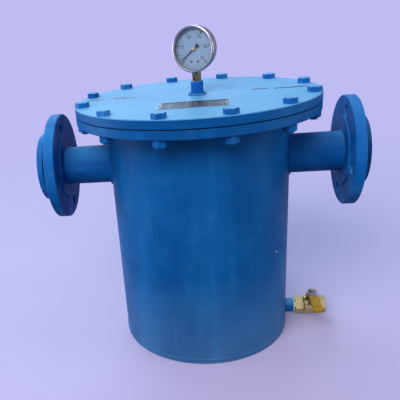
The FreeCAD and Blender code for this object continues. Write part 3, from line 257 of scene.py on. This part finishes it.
def add_fading(surface, tone, broad, pale, share):
    """Sun-fading and dust on what faces up, with a painted sky sheen: paler the more a surface faces
    up.
    """
    facing_up = surface.span(surface.part(surface.facing, "Z"), 0.35, 0.95)
    uneven = surface.span(broad, 0.2, 0.8, 0.75, 1.0)
    cover = surface.math("MULTIPLY", surface.math("MULTIPLY", facing_up, uneven), share)
    return surface.mix(cover, tone, pale)


def add_scratches(surface, tone, scratches):
    """Straight scratches with ragged edges."""
    ragged = surface.noise(150.0, detail=5.0, roughness=0.7)
    for start, end, half_width, colour in scratches:
        along = Vector(end) - Vector(start)
        distance = surface.line_distance(start, along.normalized(), along.length)
        edge = surface.span(ragged, 0.0, 1.0, 2.7 * half_width, -0.7 * half_width)
        tone = surface.mix(surface.math("LESS_THAN", distance, edge), tone, colour)
    return tone


def add_specks(surface, tone, specks):
    """Small round spots with uneven edges."""
    wobble = surface.noise(420.0, detail=3.0)
    for centre, radius, colour in specks:
        distance = surface.measure("DISTANCE", surface.place, centre)
        edge = surface.vary(wobble, 0.7 * radius, 1.3 * radius)
        tone = surface.mix(surface.math("LESS_THAN", distance, edge), tone, colour)
    return tone


def add_chips(surface, tone, share):
    """Flakes of the coat gone, down to the primer."""
    flakes = surface.noise(160.0, detail=6.0, roughness=0.7)
    return surface.mix(surface.span(flakes, 0.76 - share, 0.78 - share), tone, PRIMER)


def paint(name, strokes, tones, fade_and_sheen, fade_and_sheen_tone=SHELL_FADE_AND_SHEEN, sheen=0.1, gloss=0.42,
          streaks=0.5, clouds=0.0, dusty=False, shade_bands=(), scratches=(), specks=(), chips=0.0):
    """Brushed blue enamel: mottled, faded and dusty on top with a painted sky sheen there, with
    painted shade bands and the other marks that a piece asks for.
    """
    dark, base, light = tones
    surface = Surface(name, Specular_IOR_Level=sheen)
    broad = surface.noise(7.0, detail=5.0, roughness=0.6)
    fine = surface.noise(55.0, detail=4.0)
    brushed = surface.noise(26.0, detail=4.0, stretch=strokes)
    tone = surface.mix(surface.span(broad, 0.35, 0.7), dark, base)
    tone = surface.mix(surface.span(brushed, 0.48, 0.72, 0.0, streaks), tone, light)
    tone = surface.mix(surface.span(fine, 0.3, 0.75, 0.0, 0.16), tone, dark)
    if clouds:
        tone = add_clouds(surface, tone, dark, fade_and_sheen_tone, clouds)
    if dusty:
        tone = add_floor_dust(surface, tone, broad)
    # Painted shade in the nozzles' gaps
    if shade_bands:
        tone = add_bands(surface, tone, shade_bands)
    # Paler where the surface faces up: fading and dust, and a painted sky sheen
    tone = add_fading(surface, tone, broad, fade_and_sheen_tone, fade_and_sheen)
    if scratches:
        tone = add_scratches(surface, tone, scratches)
    if specks:
        tone = add_specks(surface, tone, specks)
    if chips:
        tone = add_chips(surface, tone, chips)
    surface.bump(surface.noise(230.0, detail=2.0), 0.16, 0.6 * MM)
    surface.bump(surface.noise(30.0, detail=3.0, stretch=strokes), 0.2, 0.8 * MM)
    surface.bump(broad, 0.25, 3 * MM)
    uneven = surface.noise(34.0, detail=4.0)
    return surface.finish(tone, surface.vary(uneven, gloss - 0.06, gloss + 0.08))


# Bare metals, plastics and the rest

def metal(name, colour, tarnish, shine, spread=0.12, grain=NO_STRETCH, tarnished=0.5,
          bump=0.1, patch=90.0):
    """A bare metal with tarnish in patches, fine grain and uneven gloss."""
    surface = Surface(name, metallic=1.0)
    patches = surface.noise(patch, detail=5.0, roughness=0.65)
    scale = surface.noise(420.0, detail=3.0, stretch=grain)
    tone = surface.mix(surface.span(patches, 0.42, 0.72, 0.0, tarnished), colour, tarnish)
    tone = surface.mix(surface.span(scale, 0.35, 0.7, 0.0, 0.25), tone, tarnish)
    surface.bump(scale, bump, 0.3 * MM)
    surface.bump(patches, bump, 0.8 * MM)
    return surface.finish(tone, surface.vary(patches, shine - spread / 2, shine + spread))


def plain(name, colour, shade, rough, bump=0.15, **shader_values):
    """A non-metal surface with fine grain, grime in patches and uneven gloss."""
    surface = Surface(name, **shader_values)
    grime = surface.noise(75.0, detail=5.0)
    grain = surface.noise(300.0, detail=3.0)
    tone = surface.mix(surface.span(grime, 0.4, 0.75, 0.0, 0.6), colour, shade)
    tone = surface.mix(surface.span(grain, 0.4, 0.7, 0.0, 0.2), tone, shade)
    surface.bump(grain, bump, 0.4 * MM)
    return surface.finish(tone, surface.vary(grime, rough - 0.08, rough + 0.1))


def woven(name):
    """Knitted wire: crossed waves in height and shade."""
    surface = Surface(name, metallic=0.9)
    first = surface.noise(1400.0, detail=2.0, stretch=(1, 1, 0.25))
    second = surface.noise(1400.0, detail=2.0, stretch=(0.25, 0.25, 1))
    wires = surface.math("MAXIMUM", first, second)
    tone = surface.mix(surface.span(wires, 0.45, 0.65), linear(52, 52, 54), linear(176, 176, 172))
    surface.bump(wires, 0.9, 1.2 * MM)
    return surface.finish(tone, surface.span(wires, 0.4, 0.7, 0.55, 0.3))


def glass(name):
    """A flat window, faintly dusty, that lets the dial show through."""
    surface = Surface(name, IOR=1.45)
    dust = surface.noise(160.0, detail=4.0)
    cloud = surface.mix(dust, linear(196, 208, 220), linear(226, 232, 238))
    alpha = surface.span(dust, 0.35, 0.8, 0.02, 0.07)
    surface.links.new(alpha, surface.shader.inputs["Alpha"])
    surface.bump(dust, 0.02, 0.2 * MM)
    return surface.finish(cloud, surface.vary(dust, 0.03, 0.1))


HUB_CAP_R = 2.45 * MM


def pointer_paint(name):
    """Matt black hand with a turned brass hub at its middle."""
    surface = Surface(name, Specular_IOR_Level=0.2)
    grain = surface.noise(900.0, detail=3.0)
    black = surface.mix(grain, linear(4, 4, 6), linear(16, 16, 20))
    brass = surface.mix(grain, linear(140, 120, 84), linear(190, 172, 130))
    axis = (GAUGE.to_3x3() @ Vector((0, 0, 1))).normalized()
    hub = surface.math("LESS_THAN", surface.line_distance(HUB, axis), HUB_CAP_R)
    surface.bump(grain, 0.1, 0.2 * MM)
    return surface.finish(surface.mix(hub, black, brass), surface.vary(grain, 0.4, 0.55))


FLATS_LEVEL = BOSS_TOP + 4.5 * MM
FLATS_BLEND = 0.6 * MM


def neck_metal(name):
    """Brass gone brown on the shank and dull olive on the wrench flats above it."""
    surface = Surface(name, metallic=1.0)
    patches = surface.noise(150.0, detail=5.0)
    worn = surface.span(patches, 0.35, 0.7)
    shank = surface.mix(worn, linear(140, 98, 70), linear(66, 40, 30))
    flats = surface.mix(worn, linear(112, 110, 90), linear(50, 48, 38))
    height = surface.part(surface.place, "Z")
    above = surface.span(height, FLATS_LEVEL - FLATS_BLEND, FLATS_LEVEL + FLATS_BLEND)
    surface.bump(surface.noise(500.0, detail=3.0), 0.15, 0.4 * MM)
    return surface.finish(surface.mix(above, shank, flats), surface.vary(patches, 0.38, 0.55))


shell_paint = paint("shell_paint", UPRIGHT, SHELL_TONES, fade_and_sheen=0.35, sheen=0.06, streaks=0.36,
                    clouds=0.08, dusty=True, specks=SPECKS)
cover_paint = paint("cover_paint", ALONG_X, SHELL_TONES, fade_and_sheen=0.85, fade_and_sheen_tone=COVER_FADE_AND_SHEEN,
                    sheen=0.06, scratches=SCRATCHES, chips=0.02)
# The fitting paint carries painted shade bands in the nozzles' gaps
fitting_paint = paint("fitting_paint", ALONG_X, FITTING_TONES, fade_and_sheen=0.44, sheen=0.05,
                      gloss=0.54, streaks=0.6, clouds=0.18, shade_bands=PAINTED_SHADE_BANDS)
bolt_paint = paint("bolt_paint", UPRIGHT, BOLT_TONES, fade_and_sheen=0.6, fade_and_sheen_tone=COVER_FADE_AND_SHEEN,
                   chips=0.06)
inner_steel = metal("inner_steel", linear(150, 148, 144), linear(92, 78, 66), 0.42)
scaled_steel = metal("scaled_steel", linear(120, 116, 112), linear(84, 58, 44), 0.55)
wire_mesh = woven("wire_mesh")
gasket_fibre = plain("gasket_fibre", linear(30, 34, 40), linear(14, 20, 30), 0.75)
plate_metal = metal("plate_metal", linear(158, 164, 174), linear(104, 112, 124), 0.4,
                    grain=(0.1, 1, 1))
case_steel = metal("case_steel", linear(156, 154, 136), linear(70, 68, 54), 0.44)
bezel_steel = metal("bezel_steel", linear(158, 158, 164), linear(84, 82, 80), 0.28, tarnished=0.4)
window_glass = glass("window_glass")
# Painted shade: the white dial is given a darker blue-grey, as if it lay in shade
dial_white = plain("dial_white", linear(122, 147, 176), linear(102, 128, 160), 0.5, bump=0.03)
pointer_black = pointer_paint("pointer_black")
print_black = plain("print_black", linear(14, 14, 18), linear(32, 32, 38), 0.6,
                    Specular_IOR_Level=0.2)
valve_brass = metal("valve_brass", linear(204, 188, 122), linear(140, 128, 70), 0.24,
                    tarnished=0.35, bump=0.015, patch=30.0)
socket_brass = neck_metal("socket_brass")
works_brass = metal("works_brass", linear(196, 160, 90), linear(120, 90, 48), 0.35)
tape_white = plain("tape_white", linear(222, 226, 228), linear(176, 184, 190), 0.6)
seat_white = plain("seat_white", linear(236, 236, 232), linear(206, 206, 200), 0.45)
zinc = metal("zinc", linear(170, 170, 170), linear(92, 90, 88), 0.38)
chrome = metal("chrome", linear(214, 216, 220), linear(170, 172, 176), 0.12, spread=0.06,
               tarnished=0.2)
grip_yellow = plain("grip_yellow", linear(162, 124, 12), linear(120, 86, 6), 0.5,
                    Specular_IOR_Level=0.15)

LOOKS = {
    shell_paint: ("bottom_plate", "shell_tube", "shell_flange"),
    cover_paint: ("cover_plate",),
    fitting_paint: (
        "inlet_pipe", "inlet_collar", "inlet_flange", "outlet_pipe", "outlet_collar",
        "outlet_flange", "cover_nuts", "gauge_boss",
    ),
    bolt_paint: ("cover_bolts", "drain_coupling"),
    gasket_fibre: ("cover_gasket",),
    inner_steel: (
        "outlet_elbow", "filter_top_cap", "filter_core", "filter_bottom_cap", "rod_bridge",
        "filter_tie_rod", "tie_rod_nut",
    ),
    scaled_steel: ("inlet_baffle", "splash_plate", "splash_lugs", "dial_screws"),
    wire_mesh: ("filter_mesh",),
    socket_brass: ("gauge_socket",),
    case_steel: ("gauge_case",),
    bezel_steel: ("gauge_bezel",),
    window_glass: ("gauge_window",),
    dial_white: ("gauge_dial",),
    works_brass: ("movement_frame", "bourdon_tube", "gear_sector"),
    zinc: ("pointer_arbor", "valve_lever", "lever_nut"),
    pointer_black: ("gauge_pointer",),
    plate_metal: ("nameplate",),
    valve_brass: ("drain_nipple", "valve_body", "valve_end_piece", "valve_stem", "gland_nut"),
    tape_white: ("thread_tape",),
    seat_white: ("valve_seats", "stem_packing"),
    chrome: ("valve_ball",),
    grip_yellow: ("lever_grip",),
}
for material, names in LOOKS.items():
    for name in names:
        for slot in NODES[name].material_slots:
            slot.material = material


# Pieces that the solids leave to the scene, each with a shape of points and faces

def piece(name, shape, material, body="vessel", smooth=True):
    """A mesh object that rides on a body."""
    points, faces = shape
    mesh = bpy.data.meshes.new(name)
    mesh.from_pydata([tuple(point) for point in points], [], faces)
    mesh.materials.append(material)
    mesh.polygons.foreach_set("use_smooth", [smooth] * len(mesh.polygons))
    item = bpy.data.objects.new(name, mesh)
    bpy.context.scene.collection.objects.link(item)
    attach(item, body)


def join(shapes):
    """One shape of several."""
    points = []
    faces = []
    for more_points, more_faces in shapes:
        base = len(points)
        points.extend(more_points)
        faces.extend([tuple(base + i for i in face) for face in more_faces])
    return points, faces


def ring_faces(rings, sides, closed):
    """Quads between neighbouring rings of points."""
    faces = []
    for i in range(rings if closed else rings - 1):
        following = (i + 1) % rings
        for j in range(sides):
            beside = (j + 1) % sides
            corners = ((i, j), (following, j), (following, beside), (i, beside))
            faces.append(tuple(ring * sides + side for ring, side in corners))
    return faces


# Weld beads

BEAD_SIDES = 9
RIPPLE_STEPS = 4
RIPPLE_DEPTH = 0.14
SWELL = 0.14


def bead(line, ripples, radius, seed):
    """An uneven weld bead along a closed line, line(share) giving its middle."""
    draw = random.Random(seed)
    rings = ripples * RIPPLE_STEPS
    middles = [line(i / rings) for i in range(rings)]
    centre = sum(middles, Vector()) / rings
    points = []
    swell = 1.0
    for i, spot in enumerate(middles):
        if i % RIPPLE_STEPS == 0:
            swell = 1 + draw.uniform(-SWELL, SWELL)
        along = (middles[(i + 1) % rings] - middles[i - 1]).normalized()
        outward = (spot - centre).normalized()
        across = along.cross(outward).normalized()
        outward = across.cross(along)
        share = (i % RIPPLE_STEPS) / RIPPLE_STEPS
        size = radius * swell * (1 - RIPPLE_DEPTH + RIPPLE_DEPTH * math.sin(math.pi * share))
        for j in range(BEAD_SIDES):
            turn = 2 * math.pi * j / BEAD_SIDES
            points.append(spot + (outward * math.cos(turn) + across * math.sin(turn)) * size)
    return points, ring_faces(rings, BEAD_SIDES, True)


def level_ring(x, z, radius):
    """A level circle, as a line function."""
    def at(share):
        turn = 2 * math.pi * share
        return Vector((x + radius * math.cos(turn), radius * math.sin(turn), z))
    return at


def upright_ring(x, radius):
    """A circle about the nozzles' axis, as a line function."""
    def at(share):
        turn = 2 * math.pi * share
        return Vector((x, radius * math.cos(turn), NOZZLE + radius * math.sin(turn)))
    return at


def saddle(side, shell_radius, pipe_radius, level):
    """Where a pipe along X meets the upright shell, as a line function."""
    def at(share):
        turn = 2 * math.pi * share
        y = pipe_radius * math.cos(turn)
        x = side * math.sqrt(shell_radius ** 2 - y ** 2)
        return Vector((x, y, level + pipe_radius * math.sin(turn)))
    return at


def add_bead(name, line, round_radius, radius, pitch, seed, material=fitting_paint):
    """A weld bead with the ripples that a pitch gives on a circle of round_radius."""
    ripples = round(2 * math.pi * round_radius / pitch)
    piece(name, bead(line, ripples, radius, seed), material)


SADDLE_ROUND = PIPE_R + 1 * MM
SEAL_R = PIPE_R - 1.5 * MM
COUPLING_WELD_R = COUPLING_R + 0.4 * MM
THROAT_R = BOSS_FOOT_R - 0.8 * MM

for side, label in ((-1, "inlet"), (1, "outlet")):
    foot = saddle(side, SHELL_R + 0.4 * MM, PIPE_R + 0.8 * MM, NOZZLE)
    add_bead(label + "_saddle_weld", foot, SADDLE_ROUND, 2.6 * MM, 3.0 * MM, 3 + side)
    end = upright_ring(side * (PIPE_END + 0.2 * MM), SEAL_R)
    add_bead(label + "_seal_weld", end, SEAL_R, 1.6 * MM, 2.4 * MM, 9 + side)
coupling = saddle(1, SHELL_R + 0.3 * MM, COUPLING_WELD_R, DRAIN)
add_bead("coupling_weld", coupling, COUPLING_WELD_R, 1.6 * MM, 2.2 * MM, 21)
under = level_ring(0, FLANGE_UNDERSIDE - 0.2 * MM, SHELL_R + 0.6 * MM)
add_bead("flange_weld", under, SHELL_R, 3.0 * MM, 3.6 * MM, 22, shell_paint)
base = level_ring(0, BASE_TOP, SHELL_R - 0.6 * MM)
add_bead("base_weld", base, SHELL_R, 1.3 * MM, 3.0 * MM, 23, shell_paint)
foot = level_ring(GAUGE_X, COVER_TOP + 0.1 * MM, BOSS_FOOT_R)
add_bead("boss_weld", foot, BOSS_FOOT_R, 1.9 * MM, 2.6 * MM, 24, cover_paint)
throat = level_ring(GAUGE_X, COVER_TOP + 2.0 * MM, THROAT_R)
add_bead("boss_weld_throat", throat, THROAT_R, 1.5 * MM, 2.4 * MM, 25)


# Threads: radius, depth, pitch and length in mm

BOLT_THREAD = (5.95, 0.35, 1.75, 1.8)
SHANK_THREAD = (6.35, 0.38, 1.4, 4.2)
MOUTH_THREAD = (9.35, -0.6, 1.8, 10.5)
THREAD_STEPS = 28
# Half a ridge's foot as a share of the pitch
HALF_FOOT = 0.42
# A ridge's depth at its very ends, and how fast it grows from there
FADE_START = 0.1
FADE_RATE = 4


def thread(radius, depth, pitch, length, matrix):
    """A helical ridge about the local Z axis, from 0 to length, fading at its ends."""
    count = int(length / pitch * THREAD_STEPS)
    points = []
    for i in range(count + 1):
        turn = 2 * math.pi * i / THREAD_STEPS
        share = i / count
        fade = min(1.0, FADE_RATE * share + FADE_START, FADE_RATE * (1 - share) + FADE_START)
        half_foot = HALF_FOOT * pitch * (0.5 if fade < 1 else 1)
        for reach, rise in ((0, -half_foot), (depth * fade, 0), (0, half_foot)):
            r = radius + reach
            spot = Vector((r * math.cos(turn), r * math.sin(turn), length * share + rise))
            points.append(matrix @ (spot * MM))
    return points, ring_faces(count + 1, 3, False)


BOLTS = 12
FIRST_BOLT = 15
BOLT_RING = COVER_R - 11.5 * MM
tails = []
for i in range(BOLTS):
    turn = math.radians(FIRST_BOLT + 360 / BOLTS * i)
    spot = (BOLT_RING * math.cos(turn), BOLT_RING * math.sin(turn), BOLT_TAIL + 0.9 * MM)
    tails.append(thread(*BOLT_THREAD, Matrix.Translation(spot)))
piece("bolt_tail_threads", join(tails), bolt_paint)
shank = Matrix.Translation((GAUGE_X, 0, BOSS_TOP + 0.3 * MM))
piece("gauge_shank_thread", thread(*SHANK_THREAD, shank), socket_brass)
mouth = Matrix.Translation((VALVE + 11.2 * MM, 0, DRAIN)) @ Matrix.Rotation(math.pi / 2, 4, "Y")
piece("drain_mouth_thread", thread(*MOUTH_THREAD, mouth), valve_brass)


# Sealing tape between the coupling and the valve, in mm

TAPE_STEPS = 120
TAPE_ROWS = 6
TAPE_OVERLAP = 0.7
TAPE_LOW = TAPE_START / MM - TAPE_OVERLAP
TAPE_WIDE = 3.1
TAPE_R = 10.2
TAPE_HUMP = 1.7
CREASES = (-0.12, 0.16)
WAVE_TALL = 0.25
WAVES = 5
FIRST_WAVE = 1.3
# How far a torn edge wanders at each step, and the share of its last place that it keeps
LOW_TEAR = 0.25
HIGH_TEAR = 0.3
TEAR_KEPT = 0.7


def ragged_tape():
    """Tape wound round the joint, torn at its edges."""
    draw = random.Random(31)
    points = []
    low_edge = 0.0
    high_edge = 0.0
    for i in range(TAPE_STEPS):
        turn = 2 * math.pi * i / TAPE_STEPS
        low_edge = TEAR_KEPT * low_edge + draw.uniform(-LOW_TEAR, LOW_TEAR)
        high_edge = TEAR_KEPT * high_edge + draw.uniform(-HIGH_TEAR, HIGH_TEAR)
        wave = WAVE_TALL * math.sin(WAVES * turn + FIRST_WAVE)
        for j in range(TAPE_ROWS):
            share = j / (TAPE_ROWS - 1)
            x = TAPE_LOW + low_edge + share * (TAPE_WIDE + high_edge - low_edge)
            hump = TAPE_HUMP * math.sin(math.pi * share) ** 0.5
            r = TAPE_R + hump + draw.uniform(*CREASES) + wave
            points.append(Vector((x, r * math.cos(turn), r * math.sin(turn) + DRAIN / MM)) * MM)
    return points, ring_faces(TAPE_STEPS, TAPE_ROWS, True)


piece("tape_wrap", ragged_tape(), tape_white)


# Dial print, in mm and degrees of the gauge's own frame

PRINT_LEVEL = 4.85
SCALE_START = 225
SCALE_SWEEP = 270
SCALE_TOP = 25
SCALE_STEPS = 50
RING_R = 27.5
RING_WIDE = 0.3
RING_STEPS = 90
# Inner radius, outer radius and width of a mark
FIGURE_TICK = (22.2, 29.2, 1.3)
HALF_TICK = (24.3, 29.0, 0.8)
SMALL_TICK = (25.7, 28.6, 0.5)
FIGURE_PITCH = 5
FIGURE_STEPS = SCALE_STEPS * FIGURE_PITCH // SCALE_TOP
FIGURE_R = 18.0
FIGURE_TALL = 6.6
# How much the figures are fattened, as a share of their height
FIGURE_WEIGHT = 0.012


def on_dial(radius, angle):
    turn = math.radians(angle)
    return GAUGE @ (Vector((radius * math.cos(turn), radius * math.sin(turn), PRINT_LEVEL)) * MM)


def dial_angle(value):
    return SCALE_START - SCALE_SWEEP * value / SCALE_TOP


def scale_ring():
    """The line that the marks stand on."""
    points = []
    for i in range(RING_STEPS + 1):
        angle = SCALE_START - SCALE_SWEEP * i / RING_STEPS
        points.append(on_dial(RING_R - RING_WIDE / 2, angle))
        points.append(on_dial(RING_R + RING_WIDE / 2, angle))
    faces = [(2 * i, 2 * i + 1, 2 * i + 3, 2 * i + 2) for i in range(RING_STEPS)]
    return points, faces


def tick(angle, inner, outer, width):
    """One flat radial mark."""
    half_in = math.degrees(width / 2 / inner)
    half_out = math.degrees(width / 2 / outer)
    points = [
        on_dial(inner, angle - half_in),
        on_dial(outer, angle - half_out),
        on_dial(outer, angle + half_out),
        on_dial(inner, angle + half_in),
    ]
    return points, [(0, 1, 2, 3)]


def mark(step):
    """The mark at one step of the scale, longest at the figures."""
    if step % FIGURE_STEPS == 0:
        sizes = FIGURE_TICK
    elif step % (FIGURE_STEPS // 2) == 0:
        sizes = HALF_TICK
    else:
        sizes = SMALL_TICK
    return tick(dial_angle(step * SCALE_TOP / SCALE_STEPS), *sizes)


def number(value):
    """Upright figures centred at their place on the dial, as a flat mesh."""
    curve = bpy.data.curves.new("figure", "FONT")
    curve.body = str(value)
    curve.size = FIGURE_TALL * MM
    curve.align_x = "CENTER"
    curve.align_y = "CENTER"
    curve.offset = FIGURE_WEIGHT * FIGURE_TALL * MM
    curve.resolution_u = 3
    holder = bpy.data.objects.new("figure", curve)
    mesh = bpy.data.meshes.new_from_object(holder)
    turn = math.radians(dial_angle(value))
    shift = Vector((FIGURE_R * math.cos(turn), FIGURE_R * math.sin(turn), PRINT_LEVEL)) * MM
    points = [GAUGE @ (vertex.co + shift) for vertex in mesh.vertices]
    faces = [tuple(face.vertices) for face in mesh.polygons]
    bpy.data.objects.remove(holder)
    bpy.data.curves.remove(curve)
    bpy.data.meshes.remove(mesh)
    return points, faces


marks = [scale_ring()] + [mark(step) for step in range(SCALE_STEPS + 1)]
piece("dial_scale", join(marks), print_black, smooth=False)
figures = [number(value) for value in range(0, SCALE_TOP + 1, FIGURE_PITCH)]
piece("dial_figures", join(figures), print_black, smooth=False)


# Nameplate: a ruled blank form and four rivets, in mm of the plate's own frame

PLATE_X, PLATE_Y = middle("nameplate").xy
PLATE_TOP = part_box("nameplate")[1].z
PLATE_TURN = math.radians(-1.5)
PLATE = Matrix.Translation((PLATE_X, PLATE_Y, PLATE_TOP)) @ Matrix.Rotation(PLATE_TURN, 4, "Z")
PRINT_LIFT = 0.05
FORM_X = 47.5
FORM_Y = 22.5
HEADING_Y = 14.5
ROWS = 5
FIRST_ROW = -19.4
ROW_PITCH = 6.8
ROW_TALL = 5.2
ROW_MARGIN = 0.8
RULE_TALL = 1.5
RULE_WIDE = 1.0
UPRIGHT_RULES = (-47.5, -31, -8, 4, 22, 46.5)
COLUMNS = ((-44, -32), (-29, -9), (-6, 3), (6, 21), (24, 44))
DASH_WIDE = (1.8, 4.2)
DASH_GAP = (0.6, 1.2)
LEAST_ROOM = 2
RIVET_X = 45.4
RIVET_Y = 20.6
RIVET_R = 1.4
RIVET_TALL = 0.9


def strip(low_x, high_x, low_y, high_y):
    """A flat bar of print."""
    corners = ((low_x, low_y), (high_x, low_y), (high_x, high_y), (low_x, high_y))
    return [PLATE @ (Vector((x, y, PRINT_LIFT)) * MM) for x, y in corners], [(0, 1, 2, 3)]


def dashes(low_y, high_y):
    """Short bars of uneven width in each column of a row."""
    draw = random.Random(round(low_y * 10))
    bars = []
    for left, right in COLUMNS:
        x = left
        while x < right - LEAST_ROOM:
            wide = draw.uniform(*DASH_WIDE)
            bars.append(strip(x, min(x + wide, right), low_y + ROW_MARGIN, high_y - ROW_MARGIN))
            x += wide + draw.uniform(*DASH_GAP)
    return bars


def blank_form():
    """A solid heading and foot, the rules between rows and columns, and dashes in the cells."""
    lows = [FIRST_ROW + ROW_PITCH * i for i in range(ROWS)]
    rows = [(low, low + ROW_TALL) for low in lows]
    bars = [strip(-FORM_X, FORM_X, HEADING_Y, FORM_Y), strip(-FORM_X, FORM_X, -FORM_Y, FIRST_ROW)]
    for low, high in rows:
        bars.append(strip(-FORM_X, FORM_X, high, high + RULE_TALL))
    for left in UPRIGHT_RULES:
        bars.append(strip(left, left + RULE_WIDE, FIRST_ROW, lows[-1] + ROW_TALL))
    for low, high in rows:
        bars.extend(dashes(low, high))
    return join(bars)


def rivet(x, y, rings=5, sides=16):
    """A rivet's round head on the plate."""
    matrix = PLATE @ Matrix.Translation((x * MM, y * MM, 0))
    points = [matrix @ (Vector((0, 0, RIVET_TALL)) * MM)]
    for i in range(1, rings + 1):
        slope = math.pi / 2 * i / rings
        r = RIVET_R * math.sin(slope)
        z = RIVET_TALL * math.cos(slope)
        for j in range(sides):
            turn = 2 * math.pi * j / sides
            points.append(matrix @ (Vector((r * math.cos(turn), r * math.sin(turn), z)) * MM))
    faces = [(0, 1 + j, 1 + (j + 1) % sides) for j in range(sides)]
    for i in range(rings - 1):
        for j in range(sides):
            a = 1 + i * sides + j
            b = 1 + i * sides + (j + 1) % sides
            faces.append((a, a + sides, b + sides, b))
    return points, faces


piece("plate_rules", blank_form(), print_black, smooth=False)
rivets = [rivet(x, y) for x in (-RIVET_X, RIVET_X) for y in (-RIVET_Y, RIVET_Y)]
piece("plate_rivets", join(rivets), zinc)


# Floor and backdrop

BACKGROUND = linear(190, 188, 243)
FLOOR_HALF = 12.0
FLOOR_LEVEL = -0.3 * MM
BLEND_START = 0.45
BLEND_END = 1.5


def seen(tree):
    """1 for rays that show the background: from the camera, in a gloss or through glass."""
    path = tree.nodes.new("ShaderNodeLightPath")
    total = path.outputs["Is Camera Ray"]
    for kind in ("Is Glossy Ray", "Is Transmission Ray"):
        node = tree.nodes.new("ShaderNodeMath")
        node.operation = "MAXIMUM"
        tree.links.new(total, node.inputs[0])
        tree.links.new(path.outputs[kind], node.inputs[1])
        total = node.outputs[0]
    return total


def floor_paint():
    """Pale where it is seen, dimmer to other light, and flat background away from the object."""
    surface = Surface("floor_pale", Specular_IOR_Level=0.1)
    soft = surface.noise(3.0, detail=3.0)
    pale = surface.mix(soft, linear(180, 170, 208), linear(188, 178, 216))
    dim = surface.mix(soft, linear(112, 106, 100), linear(124, 118, 110))
    shown = seen(surface.material.node_tree)
    material = surface.finish(surface.mix(shown, dim, pale), surface.vary(soft, 0.7, 0.8))
    reach = surface.measure("LENGTH", surface.place)
    far = surface.math("MULTIPLY", surface.span(reach, BLEND_START, BLEND_END), shown)
    flat = surface.add("Emission", {"Color": BACKGROUND, "Strength": 1.0}).outputs[0]
    near = surface.shader.outputs[0]
    blend = surface.add("MixShader", {0: far, 1: near, 2: flat}).outputs[0]
    surface.links.new(blend, surface.nodes["Material Output"].inputs["Surface"])
    return material


def add_floor():
    mesh = bpy.data.meshes.new("floor")
    corners = [(x * FLOOR_HALF, y * FLOOR_HALF, FLOOR_LEVEL)
               for x, y in ((-1, -1), (1, -1), (1, 1), (-1, 1))]
    mesh.from_pydata(corners, [], [(0, 1, 2, 3)])
    mesh.materials.append(floor_paint())
    item = bpy.data.objects.new("floor", mesh)
    bpy.context.scene.collection.objects.link(item)


# Lamps: name, place, aim, width and height, watts, colour

MIDDLE_AIM = (0, 0, 0.25)
COVER_AIM = (0, 0, 0.38)
LAMPS = (
    ("sky_panel", (-1.1, 2.5, 2.3), COVER_AIM, (3.4, 2.2), 80, (0.56, 0.84, 0.96)),
    ("key_panel", (-0.9, -2.3, 2.3), MIDDLE_AIM, (2.2, 1.6), 90, (1.0, 0.98, 0.95)),
    ("side_panel", (-2.4, 0.1, 0.3), MIDDLE_AIM, (1.0, 0.8), 25, (0.94, 0.97, 1.0)),
    ("fill_panel", (2.4, -0.5, 0.6), MIDDLE_AIM, (1.0, 1.2), 16, (0.97, 0.98, 0.96)),
)
SKY_COLOUR = linear(206, 218, 240)
SKY_STRENGTH = 0.54


def area_light(name, place, aim, size, watts, colour):
    light = bpy.data.lights.new(name, "AREA")
    light.shape = "RECTANGLE"
    light.size, light.size_y = size
    light.energy = watts
    light.color = colour
    item = bpy.data.objects.new(name, light)
    item.location = place
    item.rotation_euler = (Vector(aim) - Vector(place)).to_track_quat("-Z", "Y").to_euler()
    bpy.context.scene.collection.objects.link(item)


def add_sky():
    """A soft sky that lights the object, and the flat background for rays that show it."""
    world = bpy.data.worlds.new("studio")
    bpy.context.scene.world = world
    world.use_nodes = True
    tree = world.node_tree
    sky = tree.nodes["Background"]
    sky.inputs["Color"].default_value = SKY_COLOUR
    sky.inputs["Strength"].default_value = SKY_STRENGTH
    backdrop = tree.nodes.new("ShaderNodeBackground")
    backdrop.inputs["Color"].default_value = BACKGROUND
    backdrop.inputs["Strength"].default_value = 1.0
    choice = tree.nodes.new("ShaderNodeMixShader")
    tree.links.new(seen(tree), choice.inputs[0])
    tree.links.new(sky.outputs[0], choice.inputs[1])
    tree.links.new(backdrop.outputs[0], choice.inputs[2])
    tree.links.new(choice.outputs[0], tree.nodes["World Output"].inputs["Surface"])


# Camera, fitted to the photograph's circles of cover, shell, flanges and gauge

CAMERA_PLACE = (0.012864, -0.834118, 0.522655)
CAMERA_ANGLES = (65.46608, 4.811355, 5.515892)
SENSOR = 36
LENS = 47.8848
SHIFT_X = 0.138683
SHIFT_Y = 0.123008
NEAREST = 0.05
FARTHEST = 40


def add_camera():
    data = bpy.data.cameras.new("camera")
    data.sensor_width = SENSOR
    data.lens = LENS
    data.shift_x = SHIFT_X
    data.shift_y = SHIFT_Y
    data.clip_start = NEAREST
    data.clip_end = FARTHEST
    camera = bpy.data.objects.new("camera", data)
    camera.location = CAMERA_PLACE
    camera.rotation_euler = [math.radians(angle) for angle in CAMERA_ANGLES]
    bpy.context.scene.collection.objects.link(camera)
    bpy.context.scene.camera = camera


add_floor()
for lamp in LAMPS:
    area_light(*lamp)
add_sky()
add_camera()
bpy.context.scene.view_settings.view_transform = "Standard"
